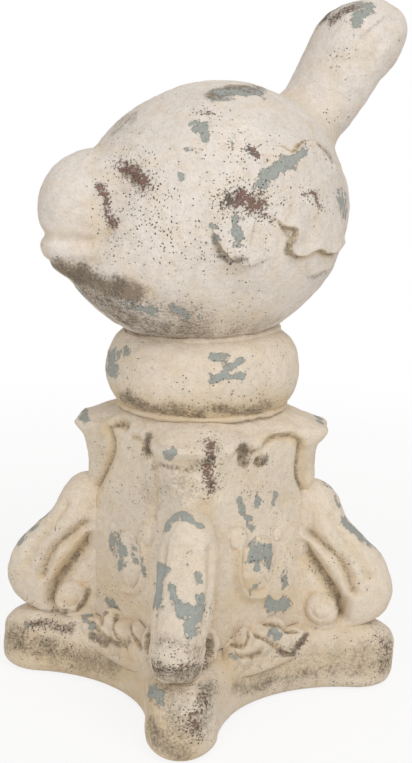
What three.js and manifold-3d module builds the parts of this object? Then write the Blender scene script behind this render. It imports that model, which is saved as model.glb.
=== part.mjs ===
// Garden ornament: a round bird on a cushion ring, a leaf-cornered pedestal and a four-lobed plinth.
// Millimetres, +Z up. The origin is the centre of the plinth's underside. The lobes and the pedestal's
// corners lie on the X and Y axes, and the beak points near -X.
import * as THREE from "three";
import { mergeVertices } from "three/addons/utils/BufferGeometryUtils.js";
import Module from "manifold-3d";

const wasm = await Module();
wasm.setup();

// Fits between the castings
const clearance = 0.3;
const mortarThickness = 2.4;
const seatTrim = 1; // how much the bird's belly is dressed back where it beds in mortar

// Plinth
const plinthHeight = 50;
const lobeReach = 153; // axis to a lobe's tip
const lobeHalfWidth = 26;
const lobeTipLength = 32; // rounded end of a lobe, along its axis
const plinthSideReach = 77; // axis to the middle of a hollow side
const plinthEdgeRound = 13;
const plinthHoleRadius = 56;

// Pedestal core
const pedestalHeight = 165;
const pedestalTopRadius = 64; // flat land under the ring
const earReach = 95; // axis to the tip of a horn-like top corner
const earThickness = 28; // from an ear's rim down to the waist
const earRimDrop = 11; // from the flat land down to the ears' rim
const waistCornerReach = 86; // axis to a corner between ear and leaf
const footCornerReach = 90; // axis to a corner behind a leaf
const faceReachTop = 70; // axis to the middle of a face, under the top edge
const faceReachFoot = 66; // axis to the middle of a face, above the plinth
const earFlare = 9.5; // how far a face sweeps out towards an ear
const earOffAngle = 0.6; // radians from a face's middle to where the sweep is full
const pedestalWall = 14;
const cornerRound = 5;
const creaseRadius = 4; // of the round cutter that carves a crease along a face's panel
const creaseStandOff = 1.2; // the cutter's middle outside the face
const pocketRadius = 7;
const pocketStandOff = 3;

// Corner leaves
const leafTopHeight = 107; // leaf's top tip above the plinth
const leafTipReach = 100;
const leafSetBack = 3.5; // fullest part of a leaf's curl, behind the lobe's tip
const leafHalfWidth = 23;
const leafTipHalfWidth = 11;
const leafRootReach = 74; // axis to the leaf's sides, where they meet the core
const leafRootDrift = 6; // how much nearer the axis the sides meet the core at the leaf's foot
const leafRootRise = 4; // from the tip up to where the sides' line on the core starts
const leafRootFall = 1.15; // the sides' line reaches the foot at one over this share of the crest
const leafShoulderDrop = 28; // below the leaf's top, where the core's corners start to draw in
const leafOpening = 0.22; // share of the leaf's length over which its tip widens
const leafScrollRadius = 10;
const leafRootShare = 0.66; // a leaf's width where it meets the core, over its width at the crest
const archSquareness = 0.75; // power of the sine and cosine that shape the leaf's section

// Face cartouches
const eggHalfWidth = 17;
const eggHalfHeight = 21.5;
const eggHeight = 57; // egg's centre above the plinth
const eggRelief = 9; // how far an egg stands out of its face
const frameTube = 4.2; // radius of the scroll round an egg
const frameGap = 6; // between an egg and the middle of its frame
const voluteRadius = 7;
const plaqueThickness = 1.6; // thin ground that joins an egg to its frame

// Plinth fleurons
// The lumps of one half of a fleuron, from the middle outwards: place along the side, height above the
// plinth's top, and radius. The first one is the rosette in the middle.
const fleuronLumps = [[0, 2, 13], [15, 9, 9], [19, -4, 10], [32, -3, 9]];
const fleuronSink = 5; // how deep the lumps' middles lie behind the plinth's side

// Cushion ring
const ringHeight = 56;
const ringReach = 72.5; // axis to the fullest part
const ringSwell = 30.5; // width of the rounded part, outside the flat land
const ringWidestHeight = 24; // above the ring's underside
const ringFootAngle = 49; // degrees of the cushion's side below its fullest part
const ringCrownAngle = 74; // degrees of it above, up to the dish
const bedOverhang = 13; // how far the upper mortar bed reaches past the ring's flat land
const cushionSquareness = 0.7; // power of the cosine that shapes the cushion's side

// Spigots and the passage through them
const boreRadius = 30;
const passageRadius = 20;
const birdSpigotLength = 26; // from the ring's crown down
const spigotEndGap = 4; // between the bird's spigot and the core's
const spigotClearance = 0.4;

// Bird, in its own frame: beak towards -X, mirrored about the XZ plane, z from its lowest point
const birdTurn = 28.2; // degrees, beak turned from -X towards -Y
const bellySink = 15; // how deep the belly sits below the ring's crown
const castingWall = 12;
const body = { x: 3.5, z: 96, along: 103.5, side: 99, across: 93.5, tilt: 0.53 };
const breast = { x: -21.5, z: 65, along: 77.5, side: 76, across: 45, tilt: 0 };
const upperBeak = { x: -83.5, z: 101.5, along: 41.5, side: 36.5, across: 41.5, tilt: 0 };
const lowerBeak = { x: -97, z: 77, along: 27, side: 26, across: 23, tilt: 0 };
const tailRoot = { x: 85, z: 179, radius: 24.5 };
const tailEnd = { x: 116.7, z: 219, radius: 28.8 };
const tailTip = { x: 124.8, z: 225, along: 36.5, side: 26.5, across: 26.8, tilt: 0.6 };
const tailWidening = 1.35; // the tail's width over its thickness
const breastBlend = 20;
const beakBlend = 12;
const mouthBlend = 5;
const tailBlend = 24;
const tipBlend = 10;

// The spine that the rays of the bird's skin leave from, placed from the beak, the body and the tail
const beakSetBack = { x: 9, z: 6 }; // beak cap's middle, ahead of and below the upper beak's
const fanStart = 13; // behind the upper beak's middle
const fanPivotRise = 87; // above the body
const fanDegrees = 57; // turn of the fan, from upright planes to planes across the tail

// Wings: relief on the bird's flanks, with the outline in the bird's own x and z
const wingRelief = 4;
const wingEdge = 1.2; // thickness at the wing's edge
const wingSeat = 0.6; // flank to the wing's underside, which clears the flat facets of both
const wingMiddle = [24, 112];
const wingOutline = [
  [-4, 146], [-20, 135], [-31, 119], [-35, 103], [-33, 87], [-27, 77], [-16, 71], [-3, 73], [9, 84],
  [20, 80], [30, 75], [46, 77], [60, 74], [72, 82], [80, 104], [76, 124], [62, 142], [46, 150],
  [30, 147], [11, 148],
];

// Heights that follow from the sizes above
const pedestalFoot = plinthHeight + clearance;
const pedestalTop = pedestalFoot + pedestalHeight;
const ringFoot = pedestalTop + 2 * clearance + mortarThickness;
const ringCrown = ringFoot + ringHeight;
const birdFoot = ringCrown - bellySink;
const ringLandRadius = ringReach - ringSwell;
const spigotRadius = boreRadius - spigotClearance;
const bedInnerRadius = boreRadius + 3;
const bedOuterRadius = ringLandRadius + bedOverhang;
const seatRadius = bedOuterRadius + 1;
const seatStations = [0, 1, 2, 3, 4].map((i) => bedInnerRadius + ((bedOuterRadius - bedInnerRadius) * i) / 4);
const seatGap = mortarThickness + 2 * clearance - seatTrim; // belly surface to the ring's dish
const birdSpigotFoot = ringCrown - birdSpigotLength;
const coreSpigotTop = birdSpigotFoot - spigotEndGap;
const ringColumns = 36;
const quarterTurns = [0, 1, 2, 3];
const cornerNames = ["right", "back", "left", "front"];
const faceNames = ["back_right", "back_left", "front_left", "front_right"];

const castPaint = { color: 0xd9cdb8, roughness: 0.9, metalness: 0 };
const birdPaint = new THREE.MeshStandardMaterial(castPaint);
const wingPaint = new THREE.MeshStandardMaterial({ ...castPaint, color: 0xd3c8b5 });
const stonePaint = new THREE.MeshStandardMaterial({ ...castPaint, color: 0xd8c9ad });
const leafPaint = new THREE.MeshStandardMaterial({ ...castPaint, color: 0xdccfb6 });
const mortarPaint = new THREE.MeshStandardMaterial({ color: 0xb9a88a, roughness: 0.95, metalness: 0 });

// Helpers for closed surfaces

// A geometry from points and triangles, turned right side out if its volume comes out negative.
function closedGeometry(points, triangles) {
  let volume = 0;
  for (let i = 0; i < triangles.length; i += 3) {
    const [a, b, c] = [points[triangles[i]], points[triangles[i + 1]], points[triangles[i + 2]]];
    volume += a.dot(new THREE.Vector3().crossVectors(b, c));
  }
  if (volume < 0) triangles.reverse();
  const geometry = new THREE.BufferGeometry().setFromPoints(points);
  geometry.setIndex(triangles);
  return mergeVertices(geometry, 1e-4);
}

// Rings of points joined in order. closeEnds "fan" caps the first and last ring at its middle, and
// "loop" joins the last ring to the first.
function ringedGeometry(rings, closeEnds) {
  const columns = rings[0].length;
  const points = rings.flat();
  const triangles = [];
  const joined = closeEnds === "loop" ? rings.length : rings.length - 1;
  for (let i = 0; i < joined; i++) {
    for (let j = 0; j < columns; j++) {
      const a = i * columns + j;
      const b = i * columns + ((j + 1) % columns);
      const c = ((i + 1) % rings.length) * columns + j;
      const d = ((i + 1) % rings.length) * columns + ((j + 1) % columns);
      triangles.push(a, b, d, a, d, c);
    }
  }
  if (closeEnds === "fan") {
    [0, rings.length - 1].forEach((row, end) => {
      const middle = points.length;
      const sum = rings[row].reduce((total, p) => total.add(p), new THREE.Vector3());
      points.push(sum.divideScalar(columns));
      for (let j = 0; j < columns; j++) {
        const a = row * columns + j;
        const b = row * columns + ((j + 1) % columns);
        triangles.push(...(end ? [a, b, middle] : [b, a, middle]));
      }
    });
  }
  return closedGeometry(points, triangles);
}

function solidOf(geometry) {
  const bare = geometry.index ? geometry.clone() : geometry;
  bare.deleteAttribute("normal");
  bare.deleteAttribute("uv");
  const merged = mergeVertices(bare, 1e-4);
  const vertProperties = merged.attributes.position.array;
  const triVerts = new Uint32Array(merged.index.array);
  return new wasm.Manifold(new wasm.Mesh({ numProp: 3, vertProperties, triVerts }));
}

function geometryOf(solid) {
  const mesh = solid.getMesh();
  const geometry = new THREE.BufferGeometry();
  geometry.setAttribute("position", new THREE.BufferAttribute(mesh.vertProperties, 3));
  geometry.setIndex(new THREE.BufferAttribute(mesh.triVerts, 1));
  return geometry;
}

// The largest body of a solid that a cut may have left in pieces.
function largestBody(solid) {
  return solid.decompose().sort((a, b) => b.volume() - a.volume())[0];
}

function namedMesh(name, geometry, material) {
  const mesh = new THREE.Mesh(geometry, material);
  mesh.name = name;
  return mesh;
}

function polarPoint(radius, angle, z) {
  return new THREE.Vector3(radius * Math.cos(angle), radius * Math.sin(angle), z);
}

function columnAngles(count) {
  return Array.from({ length: count }, (_, j) => (2 * Math.PI * j) / count);
}

// Straight-line reading of a list of [position, value] pairs.
function readProfile(profile, position) {
  const last = profile.length - 1;
  if (position <= profile[0][0]) return profile[0][1];
  if (position >= profile[last][0]) return profile[last][1];
  const upper = profile.findIndex(([p]) => p >= position);
  const [p0, v0] = profile[upper - 1];
  const [p1, v1] = profile[upper];
  return v0 + ((v1 - v0) * (position - p0)) / (p1 - p0);
}

// A smooth least of two values that rounds over the given width.
function softLeast(a, b, width) {
  const overlap = Math.max(width - Math.abs(a - b), 0) / width;
  return Math.min(a, b) - (overlap * overlap * width) / 4;
}

// A round bar between two heights.
function cylinderSolid(radius, low, high) {
  const cylinder = new THREE.CylinderGeometry(radius, radius, high - low, ringColumns);
  return solidOf(cylinder.rotateX(Math.PI / 2).translate(0, 0, (low + high) / 2));
}

// A bent round bar through the given points.
function barSolid(points, radius, steps) {
  const section = new THREE.Shape().absarc(0, 0, radius, 0, 2 * Math.PI);
  return solidOf(new THREE.ExtrudeGeometry(section, {
    steps,
    curveSegments: 3,
    extrudePath: new THREE.CatmullRomCurve3(points),
    bevelEnabled: false,
  }));
}

function ballSolid(x, y, z, rx, ry, rz, around = 7, up = 5) {
  return solidOf(new THREE.SphereGeometry(1, around, up).scale(rx, ry, rz).translate(x, y, z));
}

// Bird's form: a field that is negative inside and about the distance in millimetres near its surface

function ellipsoidField(x, y, z, shape) {
  const [cosine, sine] = [Math.cos(shape.tilt), Math.sin(shape.tilt)];
  const along = (x - shape.x) * cosine + (z - shape.z) * sine;
  const across = (z - shape.z) * cosine - (x - shape.x) * sine;
  const level = Math.hypot(along / shape.along, y / shape.side, across / shape.across);
  const slope = Math.hypot(along / shape.along ** 2, y / shape.side ** 2, across / shape.across ** 2);
  return (level * (level - 1)) / Math.max(slope, 1e-9);
}

// A cone with a ball at each end, from one ball's middle to the other's.
function taperField(x, y, z, from, to) {
  const [dx, dz] = [to.x - from.x, to.z - from.z];
  const share = ((x - from.x) * dx + (z - from.z) * dz) / (dx * dx + dz * dz);
  const t = Math.min(Math.max(share, 0), 1);
  const distance = Math.hypot(x - from.x - t * dx, y, z - from.z - t * dz);
  return distance - (from.radius + (to.radius - from.radius) * t);
}

function birdField(x, y, z) {
  const trunk = softLeast(ellipsoidField(x, y, z, body), ellipsoidField(x, y, z, breast), breastBlend);
  const flat = y / tailWidening;
  const shaft = taperField(x, flat, z, tailRoot, tailEnd);
  const tail = softLeast(shaft, ellipsoidField(x, flat, z, tailTip), tipBlend);
  const upper = ellipsoidField(x, y, z, upperBeak);
  const beak = softLeast(upper, ellipsoidField(x, y, z, lowerBeak), mouthBlend);
  return softLeast(softLeast(trunk, tail, tailBlend), beak, beakBlend);
}

// The point where a ray from inside the bird leaves it.
function leavingPoint(origin, direction, reach) {
  let [inside, outside] = [0, reach];
  const point = new THREE.Vector3();
  for (let i = 0; i < 30; i++) {
    const middle = (inside + outside) / 2;
    point.copy(origin).addScaledVector(direction, middle);
    if (birdField(point.x, point.y, point.z) < 0) inside = middle;
    else outside = middle;
  }
  return point;
}

// Height of the bird's underside at a point of the plan.
function bellyHeight(x, y) {
  const down = new THREE.Vector3(0, 0, -1);
  return leavingPoint(new THREE.Vector3(x, y, body.z), down, body.z + body.across).z;
}

// The bird's skin. Rings of rays leave a spine that runs from the beak to the tail: a half-turn cap at
// the beak, a fan of planes about a pivot above the back, a straight run up the tail and another cap.
function birdSkin() {
  const columns = 28;
  const beakMiddle = new THREE.Vector3(upperBeak.x - beakSetBack.x, 0, upperBeak.z - beakSetBack.z);
  const pivot = new THREE.Vector3(upperBeak.x + fanStart, 0, body.z + body.across + fanPivotRise);
  const fanAngle = THREE.MathUtils.degToRad(fanDegrees);
  const planeStart = new THREE.Vector3(pivot.x, 0, beakMiddle.z);
  const startDepth = pivot.z - planeStart.z;
  const fanEnd = new THREE.Vector3(Math.sin(fanAngle), 0, -Math.cos(fanAngle));
  const rootOffset = new THREE.Vector3(tailRoot.x, 0, tailRoot.z).sub(pivot);
  const endDepth = rootOffset.dot(fanEnd);
  const planeEnd = pivot.clone().addScaledVector(fanEnd, endDepth);
  const tailMiddle = new THREE.Vector3(tailEnd.x, 0, tailEnd.z);
  const rays = [];
  const addRun = (count, place) => {
    for (let i = 0; i < count; i++) rays.push(place(i / count));
  };
  addRun(7, (t) => ({ from: beakMiddle, lean: 0, opening: Math.PI * (1 - t / 2) }));
  addRun(2, (t) => ({ from: beakMiddle.clone().lerp(planeStart, t), lean: 0, opening: Math.PI / 2 }));
  addRun(17, (t) => {
    const lean = fanAngle * t;
    const depth = startDepth + (endDepth - startDepth) * t * t;
    const out = new THREE.Vector3(Math.sin(lean), 0, -Math.cos(lean));
    return { from: pivot.clone().addScaledVector(out, depth), lean, opening: Math.PI / 2 };
  });
  addRun(4, (t) => ({ from: planeEnd.clone().lerp(tailMiddle, t), lean: fanAngle, opening: Math.PI / 2 }));
  addRun(7, (t) => ({ from: tailMiddle, lean: fanAngle, opening: (Math.PI / 2) * (1 - t) }));
  const skin = rays.map(({ from, lean, opening }) => {
    const axis = new THREE.Vector3(Math.cos(lean), 0, Math.sin(lean));
    const up = new THREE.Vector3(-Math.sin(lean), 0, Math.cos(lean));
    return columnAngles(columns).map((angle) => {
      const direction = axis.clone().multiplyScalar(Math.cos(opening));
      direction.addScaledVector(up, Math.sin(opening) * Math.cos(angle));
      direction.y += Math.sin(opening) * Math.sin(angle);
      return leavingPoint(from, direction, 2 * body.along);
    });
  });
  return ringedGeometry(skin, "fan");
}

// A solid under the bird whose top follows the belly, raised by the trim: it cuts the seat.
function seatTool() {
  const floor = -2 * birdSpigotLength;
  const stations = [seatRadius, ...seatStations.slice(0, -1).reverse(), bedInnerRadius / 2];
  const rings = stations.map((radius) => seatRing(radius, seatTrim));
  rings.unshift(columnAngles(ringColumns).map((angle) => polarPoint(seatRadius, angle, floor)));
  return solidOf(ringedGeometry(rings, "fan"));
}

// A ring of points at one radius, at the belly's height plus an offset.
function seatRing(radius, offset) {
  return columnAngles(ringColumns).map((angle) => {
    const height = bellyHeight(radius * Math.cos(angle), radius * Math.sin(angle));
    return polarPoint(radius, angle, height + offset);
  });
}

function birdBody() {
  const hollow = new THREE.SphereGeometry(1, 20, 12).rotateX(Math.PI / 2);
  hollow.scale(body.along - castingWall, body.side - castingWall, body.across - castingWall);
  hollow.rotateY(-body.tilt).translate(body.x, 0, body.z);
  const spigot = cylinderSolid(spigotRadius, birdSpigotFoot - birdFoot, castingWall * 2);
  const passage = cylinderSolid(passageRadius, -2 * birdSpigotLength, castingWall * 3);
  const dressed = solidOf(birdSkin()).subtract(seatTool()).add(spigot);
  return geometryOf(dressed.subtract(solidOf(hollow)).subtract(passage));
}

// Outward direction of the bird's surface at a point.
function birdNormal(point) {
  const step = 0.5;
  const [x, y, z] = point.toArray();
  return new THREE.Vector3(
    birdField(x + step, y, z) - birdField(x - step, y, z),
    birdField(x, y + step, z) - birdField(x, y - step, z),
    birdField(x, y, z + step) - birdField(x, y, z - step),
  ).normalize();
}

// A wing: rings that shrink from the outline to the middle, lifted off the flank by the relief, over an
// underside that follows the flank. side is -1 for the bird's left and 1 for its right.
function wingGeometry(side) {
  const count = 28;
  const spans = [1, 0.92, 0.78, 0.6, 0.4, 0.2];
  const corners = wingOutline.map(([x, z]) => new THREE.Vector3(x, 0, z));
  const outline = new THREE.CatmullRomCurve3(corners, true, "centripetal").getPoints(count).slice(0, count);
  const middle = new THREE.Vector3(wingMiddle[0], 0, wingMiddle[1]);
  const ringAt = (span, lift) =>
    outline.map((edge) => {
      const start = middle.clone().lerp(edge, span);
      const point = leavingPoint(start, new THREE.Vector3(0, side, 0), 2 * body.side);
      return point.clone().addScaledVector(birdNormal(point), lift);
    });
  const under = spans.slice().reverse().map((span) => ringAt(span, wingSeat));
  const over = spans.map((span) => {
    const rise = Math.sqrt(1 - span ** 4);
    return ringAt(span, wingSeat + wingEdge + (wingRelief - wingEdge) * rise);
  });
  return ringedGeometry([...under, ...over], "fan");
}

// The cushion ring: bore, a dish that follows the belly, a rounded crown and side, and a flat underside.
function ringGeometry() {
  const rise = ringHeight - ringWidestHeight;
  const lowest = -THREE.MathUtils.degToRad(ringFootAngle);
  const highest = THREE.MathUtils.degToRad(ringCrownAngle);
  const steps = 10;
  const angles = columnAngles(ringColumns);
  const rings = [angles.map((angle) => polarPoint(boreRadius, angle, ringFoot))];
  const dish = (radius) => seatRing(radius, birdFoot - seatGap);
  [boreRadius, ...seatStations.slice(0, -1)].forEach((radius) => rings.push(dish(radius)));
  for (let i = 0; i <= steps; i++) {
    const turn = highest + ((lowest - highest) * i) / steps;
    const radius = ringLandRadius + ringSwell * Math.cos(turn) ** cushionSquareness;
    const depth = (ringWidestHeight * Math.sin(turn)) / Math.sin(-lowest);
    const height = ringFoot + ringWidestHeight + (turn > 0 ? rise * Math.sin(turn) : depth);
    rings.push(dish(radius).map((p) => p.setZ(turn > 0 ? Math.min(p.z, height) : height)));
  }
  return ringedGeometry(rings, "loop");
}

// The mortar between the ring's dish and the belly.
function upperBedGeometry() {
  const top = birdFoot + seatTrim - clearance;
  const over = seatStations.map((radius) => seatRing(radius, top));
  const under = seatStations.map((radius) => seatRing(radius, top - mortarThickness)).reverse();
  return ringedGeometry([...over, ...under], "loop");
}

function lowerBedGeometry() {
  const foot = pedestalTop + clearance;
  const outer = pedestalTopRadius - 1;
  const profile = [
    [bedInnerRadius, foot], [outer - 1, foot], [outer, foot + mortarThickness / 2],
    [outer - 1, foot + mortarThickness], [bedInnerRadius, foot + mortarThickness], [bedInnerRadius, foot],
  ];
  const lathe = new THREE.LatheGeometry(profile.map(([r, z]) => new THREE.Vector2(r, z)), ringColumns);
  return geometryOf(solidOf(lathe.rotateX(Math.PI / 2)));
}

// Pedestal core

// Corners at 0, 90, 180 and 270 degrees. More columns lie near the corners than on the faces.
function pedestalAngles() {
  const half = 6;
  const angles = [];
  for (let quarter = 0; quarter < 4; quarter++) {
    for (let k = 0; k < 2 * half; k++) {
      const step = k <= half ? k : 2 * half - k;
      const offset = (Math.PI / 4) * (step / half) ** 1.35;
      const corner = k <= half ? quarter : quarter + 1;
      angles.push(corner * (Math.PI / 2) + (k <= half ? offset : -offset));
    }
  }
  return angles;
}

// Sizes up the pedestal, as heights above its foot: corner reach, face reach and the faces' sweep.
const rimHeight = pedestalHeight - earRimDrop;
const waistHeight = rimHeight - earThickness;
const shoulderHeight = leafTopHeight - leafShoulderDrop;
const cornerProfile = [
  [0, footCornerReach], [shoulderHeight, footCornerReach - 2], [leafTopHeight - 5, waistCornerReach],
  [waistHeight, waistCornerReach], [waistHeight + earThickness / 2, waistCornerReach + 2],
  [rimHeight - earThickness / 3, earReach - 3], [rimHeight - earThickness / 8, earReach],
  [rimHeight, earReach - 3],
];
const faceProfile = [
  [0, faceReachFoot + 1], [eggHeight, faceReachFoot], [shoulderHeight, faceReachFoot],
  [waistHeight, faceReachTop - 2], [rimHeight - earThickness / 4, faceReachTop],
  [rimHeight, faceReachTop - 2],
];
const sweepProfile = [
  [waistHeight - earThickness / 4, 0], [waistHeight + earThickness / 3, earFlare / 2],
  [rimHeight - earThickness / 4, earFlare],
];

// Distance of the pedestal's side from the axis, at an angle and a height above the plinth.
function pedestalReach(angle, height) {
  const quarter = Math.PI / 2;
  const turned = ((angle % quarter) + quarter) % quarter;
  const fromCorner = Math.min(turned, quarter - turned);
  const fromFace = Math.PI / 4 - fromCorner;
  const sweep = readProfile(sweepProfile, height) * (Math.tan(fromFace) / Math.tan(earOffAngle)) ** 2;
  const face = (readProfile(faceProfile, height) + sweep) / Math.cos(fromFace);
  const corner = readProfile(cornerProfile, height) / Math.cos(fromCorner);
  return softLeast(face, corner, cornerRound);
}

// The pedestal's outside, grown by a clearance where it is used to cut a neighbour.
function pedestalSolid(growth) {
  const heights = [0, 1, 2, 3, 4, 5, 6].map((i) => (waistHeight * i) / 6);
  heights.push(...[0.25, 0.5, 0.67, 0.8, 0.9, 1].map((share) => waistHeight + earThickness * share));
  const angles = pedestalAngles();
  const ringAt = (height, share, z) =>
    angles.map((angle) => {
      const edge = pedestalReach(angle, height) + growth;
      return polarPoint(edge + (pedestalTopRadius - edge) * share, angle, z + growth);
    });
  const side = heights.map((height) => ringAt(height, 0, pedestalFoot + height));
  side[0].forEach((point) => point.setZ(pedestalFoot - 2 * growth));
  const crown = [0.5, 1].map((share) => {
    const last = heights[heights.length - 1];
    return ringAt(last, share, pedestalFoot + last + (pedestalHeight - last) * share);
  });
  return solidOf(ringedGeometry([...side, ...crown], "fan"));
}

// Carving on the faces, as shares of the waist's corner reach along a face and of the core's height. Each
// design is on two opposite faces, and its places run towards the right or left corner.
const faceDesigns = [
  {
    creases: [
      [[0.07, 0.945], [0.15, 0.95], [0.25, 0.925], [0.21, 0.885], [0.21, 0.825], [0.28, 0.76], [0.42, 0.66],
        [0.56, 0.57]],
      [[-0.36, 0.86], [-0.36, 0.78], [-0.34, 0.66], [-0.34, 0.57]],
    ],
    pockets: [[-0.26, 0.88]],
  },
  {
    creases: [
      [[0.01, 0.89], [0.08, 0.91], [0.17, 0.92], [0.28, 0.915], [0.36, 0.89], [0.4, 0.85], [0.41, 0.79],
        [0.45, 0.7], [0.54, 0.62]],
      [[-0.32, 0.92], [-0.24, 0.925], [-0.14, 0.9]],
    ],
    pockets: [[-0.23, 0.85], [-0.05, 0.82]],
  },
];

// Distance of a face from the axis, square to the face, at a place along it and a height.
function faceDistance(along, height) {
  let distance = faceReachTop;
  for (let i = 0; i < 4; i++) {
    const offFace = Math.atan(along / distance);
    distance = pedestalReach(Math.PI / 4 - offFace, height) * Math.cos(offFace);
  }
  return distance;
}

function facePoint([alongShare, heightShare], side, standOff) {
  const [along, height] = [side * waistCornerReach * alongShare, pedestalHeight * heightShare];
  return new THREE.Vector3(faceDistance(along, height) + standOff, along, pedestalFoot + height);
}

// What is carved out of one face, in a frame where +X is the face's outward direction.
function faceCutter(index) {
  const side = index % 2 ? 1 : -1;
  const { creases, pockets } = faceDesigns[index % 2];
  const bars = creases.map((line) => {
    const path = line.map((place) => facePoint(place, side, creaseStandOff));
    return barSolid(path, creaseRadius, 2 * line.length);
  });
  const balls = pockets.map((place) => {
    const { x, y, z } = facePoint(place, side, pocketStandOff);
    return ballSolid(x, y, z, pocketRadius, pocketRadius, pocketRadius);
  });
  return [...bars, ...balls].reduce((joined, cutter) => joined.add(cutter));
}

function pedestalCore() {
  const spigot = cylinderSolid(spigotRadius, pedestalTop - pedestalWall, coreSpigotTop);
  const passage = cylinderSolid(passageRadius, pedestalFoot - 1, coreSpigotTop + 1);
  const [wide, narrow] = [faceReachFoot - pedestalWall, faceReachTop - pedestalWall - 6];
  const ceiling = pedestalTop - pedestalWall;
  const profile = [
    [0, pedestalFoot - 1], [wide, pedestalFoot - 1], [wide, pedestalFoot + pedestalHeight / 2],
    [narrow, ceiling - pedestalWall], [narrow - pedestalWall, ceiling], [0, ceiling],
  ];
  const lathe = new THREE.LatheGeometry(profile.map(([r, z]) => new THREE.Vector2(r, z)), 24);
  const hollow = solidOf(lathe.rotateX(Math.PI / 2));
  const carved = quarterTurns.reduce(
    (rest, quarter) => rest.subtract(faceCutter(quarter).rotate([0, 0, 45 + 90 * quarter])),
    pedestalSolid(0),
  );
  return geometryOf(carved.add(spigot).subtract(hollow).subtract(passage));
}

// Plinth

// A hollow side is an arc through the side's middle and the shoulders of the two lobes beside it.
const lobeShoulder = lobeReach - lobeTipLength;
const hollowHalfSpan = (lobeShoulder - lobeHalfWidth) / Math.SQRT2;
const hollowRise = (lobeShoulder + lobeHalfWidth) / Math.SQRT2 - plinthSideReach;
const hollowRadius = (hollowHalfSpan ** 2 + hollowRise ** 2) / (2 * hollowRise);

// How far the plinth's hollow side stands from the axis, at a place along it.
function plinthSideAt(along) {
  return plinthSideReach + hollowRadius - Math.sqrt(hollowRadius ** 2 - along ** 2);
}

// The star plan: four tongues with rounded tips, joined by the hollow arcs.
function plinthShape(growth) {
  const shape = new THREE.Shape();
  const sweep = Math.asin(hollowHalfSpan / hollowRadius);
  quarterTurns.forEach((quarter) => {
    const turn = quarter * (Math.PI / 2);
    const middle = turn + Math.PI / 4;
    const distance = plinthSideReach + hollowRadius;
    const tip = [lobeShoulder * Math.cos(turn), lobeShoulder * Math.sin(turn)];
    const [length, width] = [lobeTipLength + growth, lobeHalfWidth + growth];
    shape.absellipse(...tip, length, width, -Math.PI / 2, Math.PI / 2, false, turn);
    const centre = [distance * Math.cos(middle), distance * Math.sin(middle)];
    const [start, end] = [middle + Math.PI + sweep, middle + Math.PI - sweep];
    shape.absarc(...centre, hollowRadius - growth, start, end, true);
  });
  return shape;
}

function plinthSolid(growth) {
  const shape = plinthShape(growth - plinthEdgeRound);
  const extrusion = new THREE.ExtrudeGeometry(shape, {
    depth: plinthHeight - 2 * plinthEdgeRound + growth,
    bevelEnabled: true,
    bevelThickness: plinthEdgeRound,
    bevelSize: plinthEdgeRound,
    bevelSegments: 2,
    curveSegments: 6,
  });
  return solidOf(extrusion.translate(0, 0, plinthEdgeRound));
}

function plinthGeometry() {
  const hole = cylinderSolid(plinthHoleRadius, -1, plinthHeight + 1);
  return geometryOf(plinthSolid(0).subtract(hole));
}

// Corner leaves, in the frame of the corner on +X

// Lines on a leaf have points that are a share of the way out from its tip to the fullest part, and a
// share of its height.
const leafBellyReach = lobeReach - leafSetBack;
function leafLine(shares) {
  const span = leafBellyReach - leafTipReach;
  return shares.map(([out, up]) => new THREE.Vector2(leafTipReach + span * out, leafTopHeight * up));
}

// The crest from the top tip down the curl and in under it.
const leafCrest = new THREE.SplineCurve(leafLine([
  [0, 1], [0.13, 0.86], [0.28, 0.72], [0.58, 0.58], [0.84, 0.455], [1, 0.26], [0.94, 0.11], [0.76, 0.02],
  [0.4, -0.035], [0.04, -0.02],
]));

// Grooves between the fingers, on both sides of a leaf: the round cutter's radius, how far its middle
// stands off the side, and its line.
const leafGrooves = [
  { radius: 5, standOff: 2.5, line: [[0.08, 0.75], [0.24, 0.63], [0.4, 0.53], [0.57, 0.43]] },
  {
    radius: 5.5,
    standOff: 1.5,
    line: [[-0.28, 0.65], [-0.06, 0.56], [0.16, 0.49], [0.3, 0.37], [0.36, 0.28]],
  },
  { radius: 7, standOff: 1, line: [[-0.32, 0.5], [-0.16, 0.39], [0.02, 0.29], [0.16, 0.19], [0.22, 0.08]] },
];

// A point of a leaf's outside: t goes along the crest, and the angle across the arch from side to side.
function leafPoint(t, angle, growth) {
  const tip = leafCrest.getPoint(t);
  const rootReach = leafRootReach - leafRootDrift * t;
  const rootHeight = (leafTopHeight + leafRootRise) * Math.max(1 - leafRootFall * t, 0);
  const opening = Math.min(1, Math.sqrt(t / leafOpening));
  const half = leafTipHalfWidth + (leafHalfWidth - leafTipHalfWidth) * opening;
  const side = Math.sign(angle) * Math.abs(Math.sin(angle)) ** archSquareness;
  const lift = Math.cos(angle) ** archSquareness;
  const drawnIn = leafRootShare + (1 - leafRootShare) * Math.min(2 * lift, 1);
  const reach = rootReach + (tip.x + growth - rootReach) * lift;
  const height = pedestalFoot + rootHeight + (tip.y - rootHeight) * lift;
  return new THREE.Vector3(reach, side * (half * drawnIn + growth), height);
}

// How far a leaf's side stands from its middle plane, at a reach and a height above the core's foot: that
// of the nearest point on a fine net.
function leafSideAt(reach, height) {
  let [nearest, side] = [Infinity, 0];
  for (let t = 0; t <= 1; t += 0.025) {
    for (let angle = 0.3; angle < 1.57; angle += 0.06) {
      const point = leafPoint(t, angle, 0);
      const distance = Math.hypot(point.x - reach, point.z - pedestalFoot - height);
      if (distance < nearest) [nearest, side] = [distance, point.y];
    }
  }
  return side;
}

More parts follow.
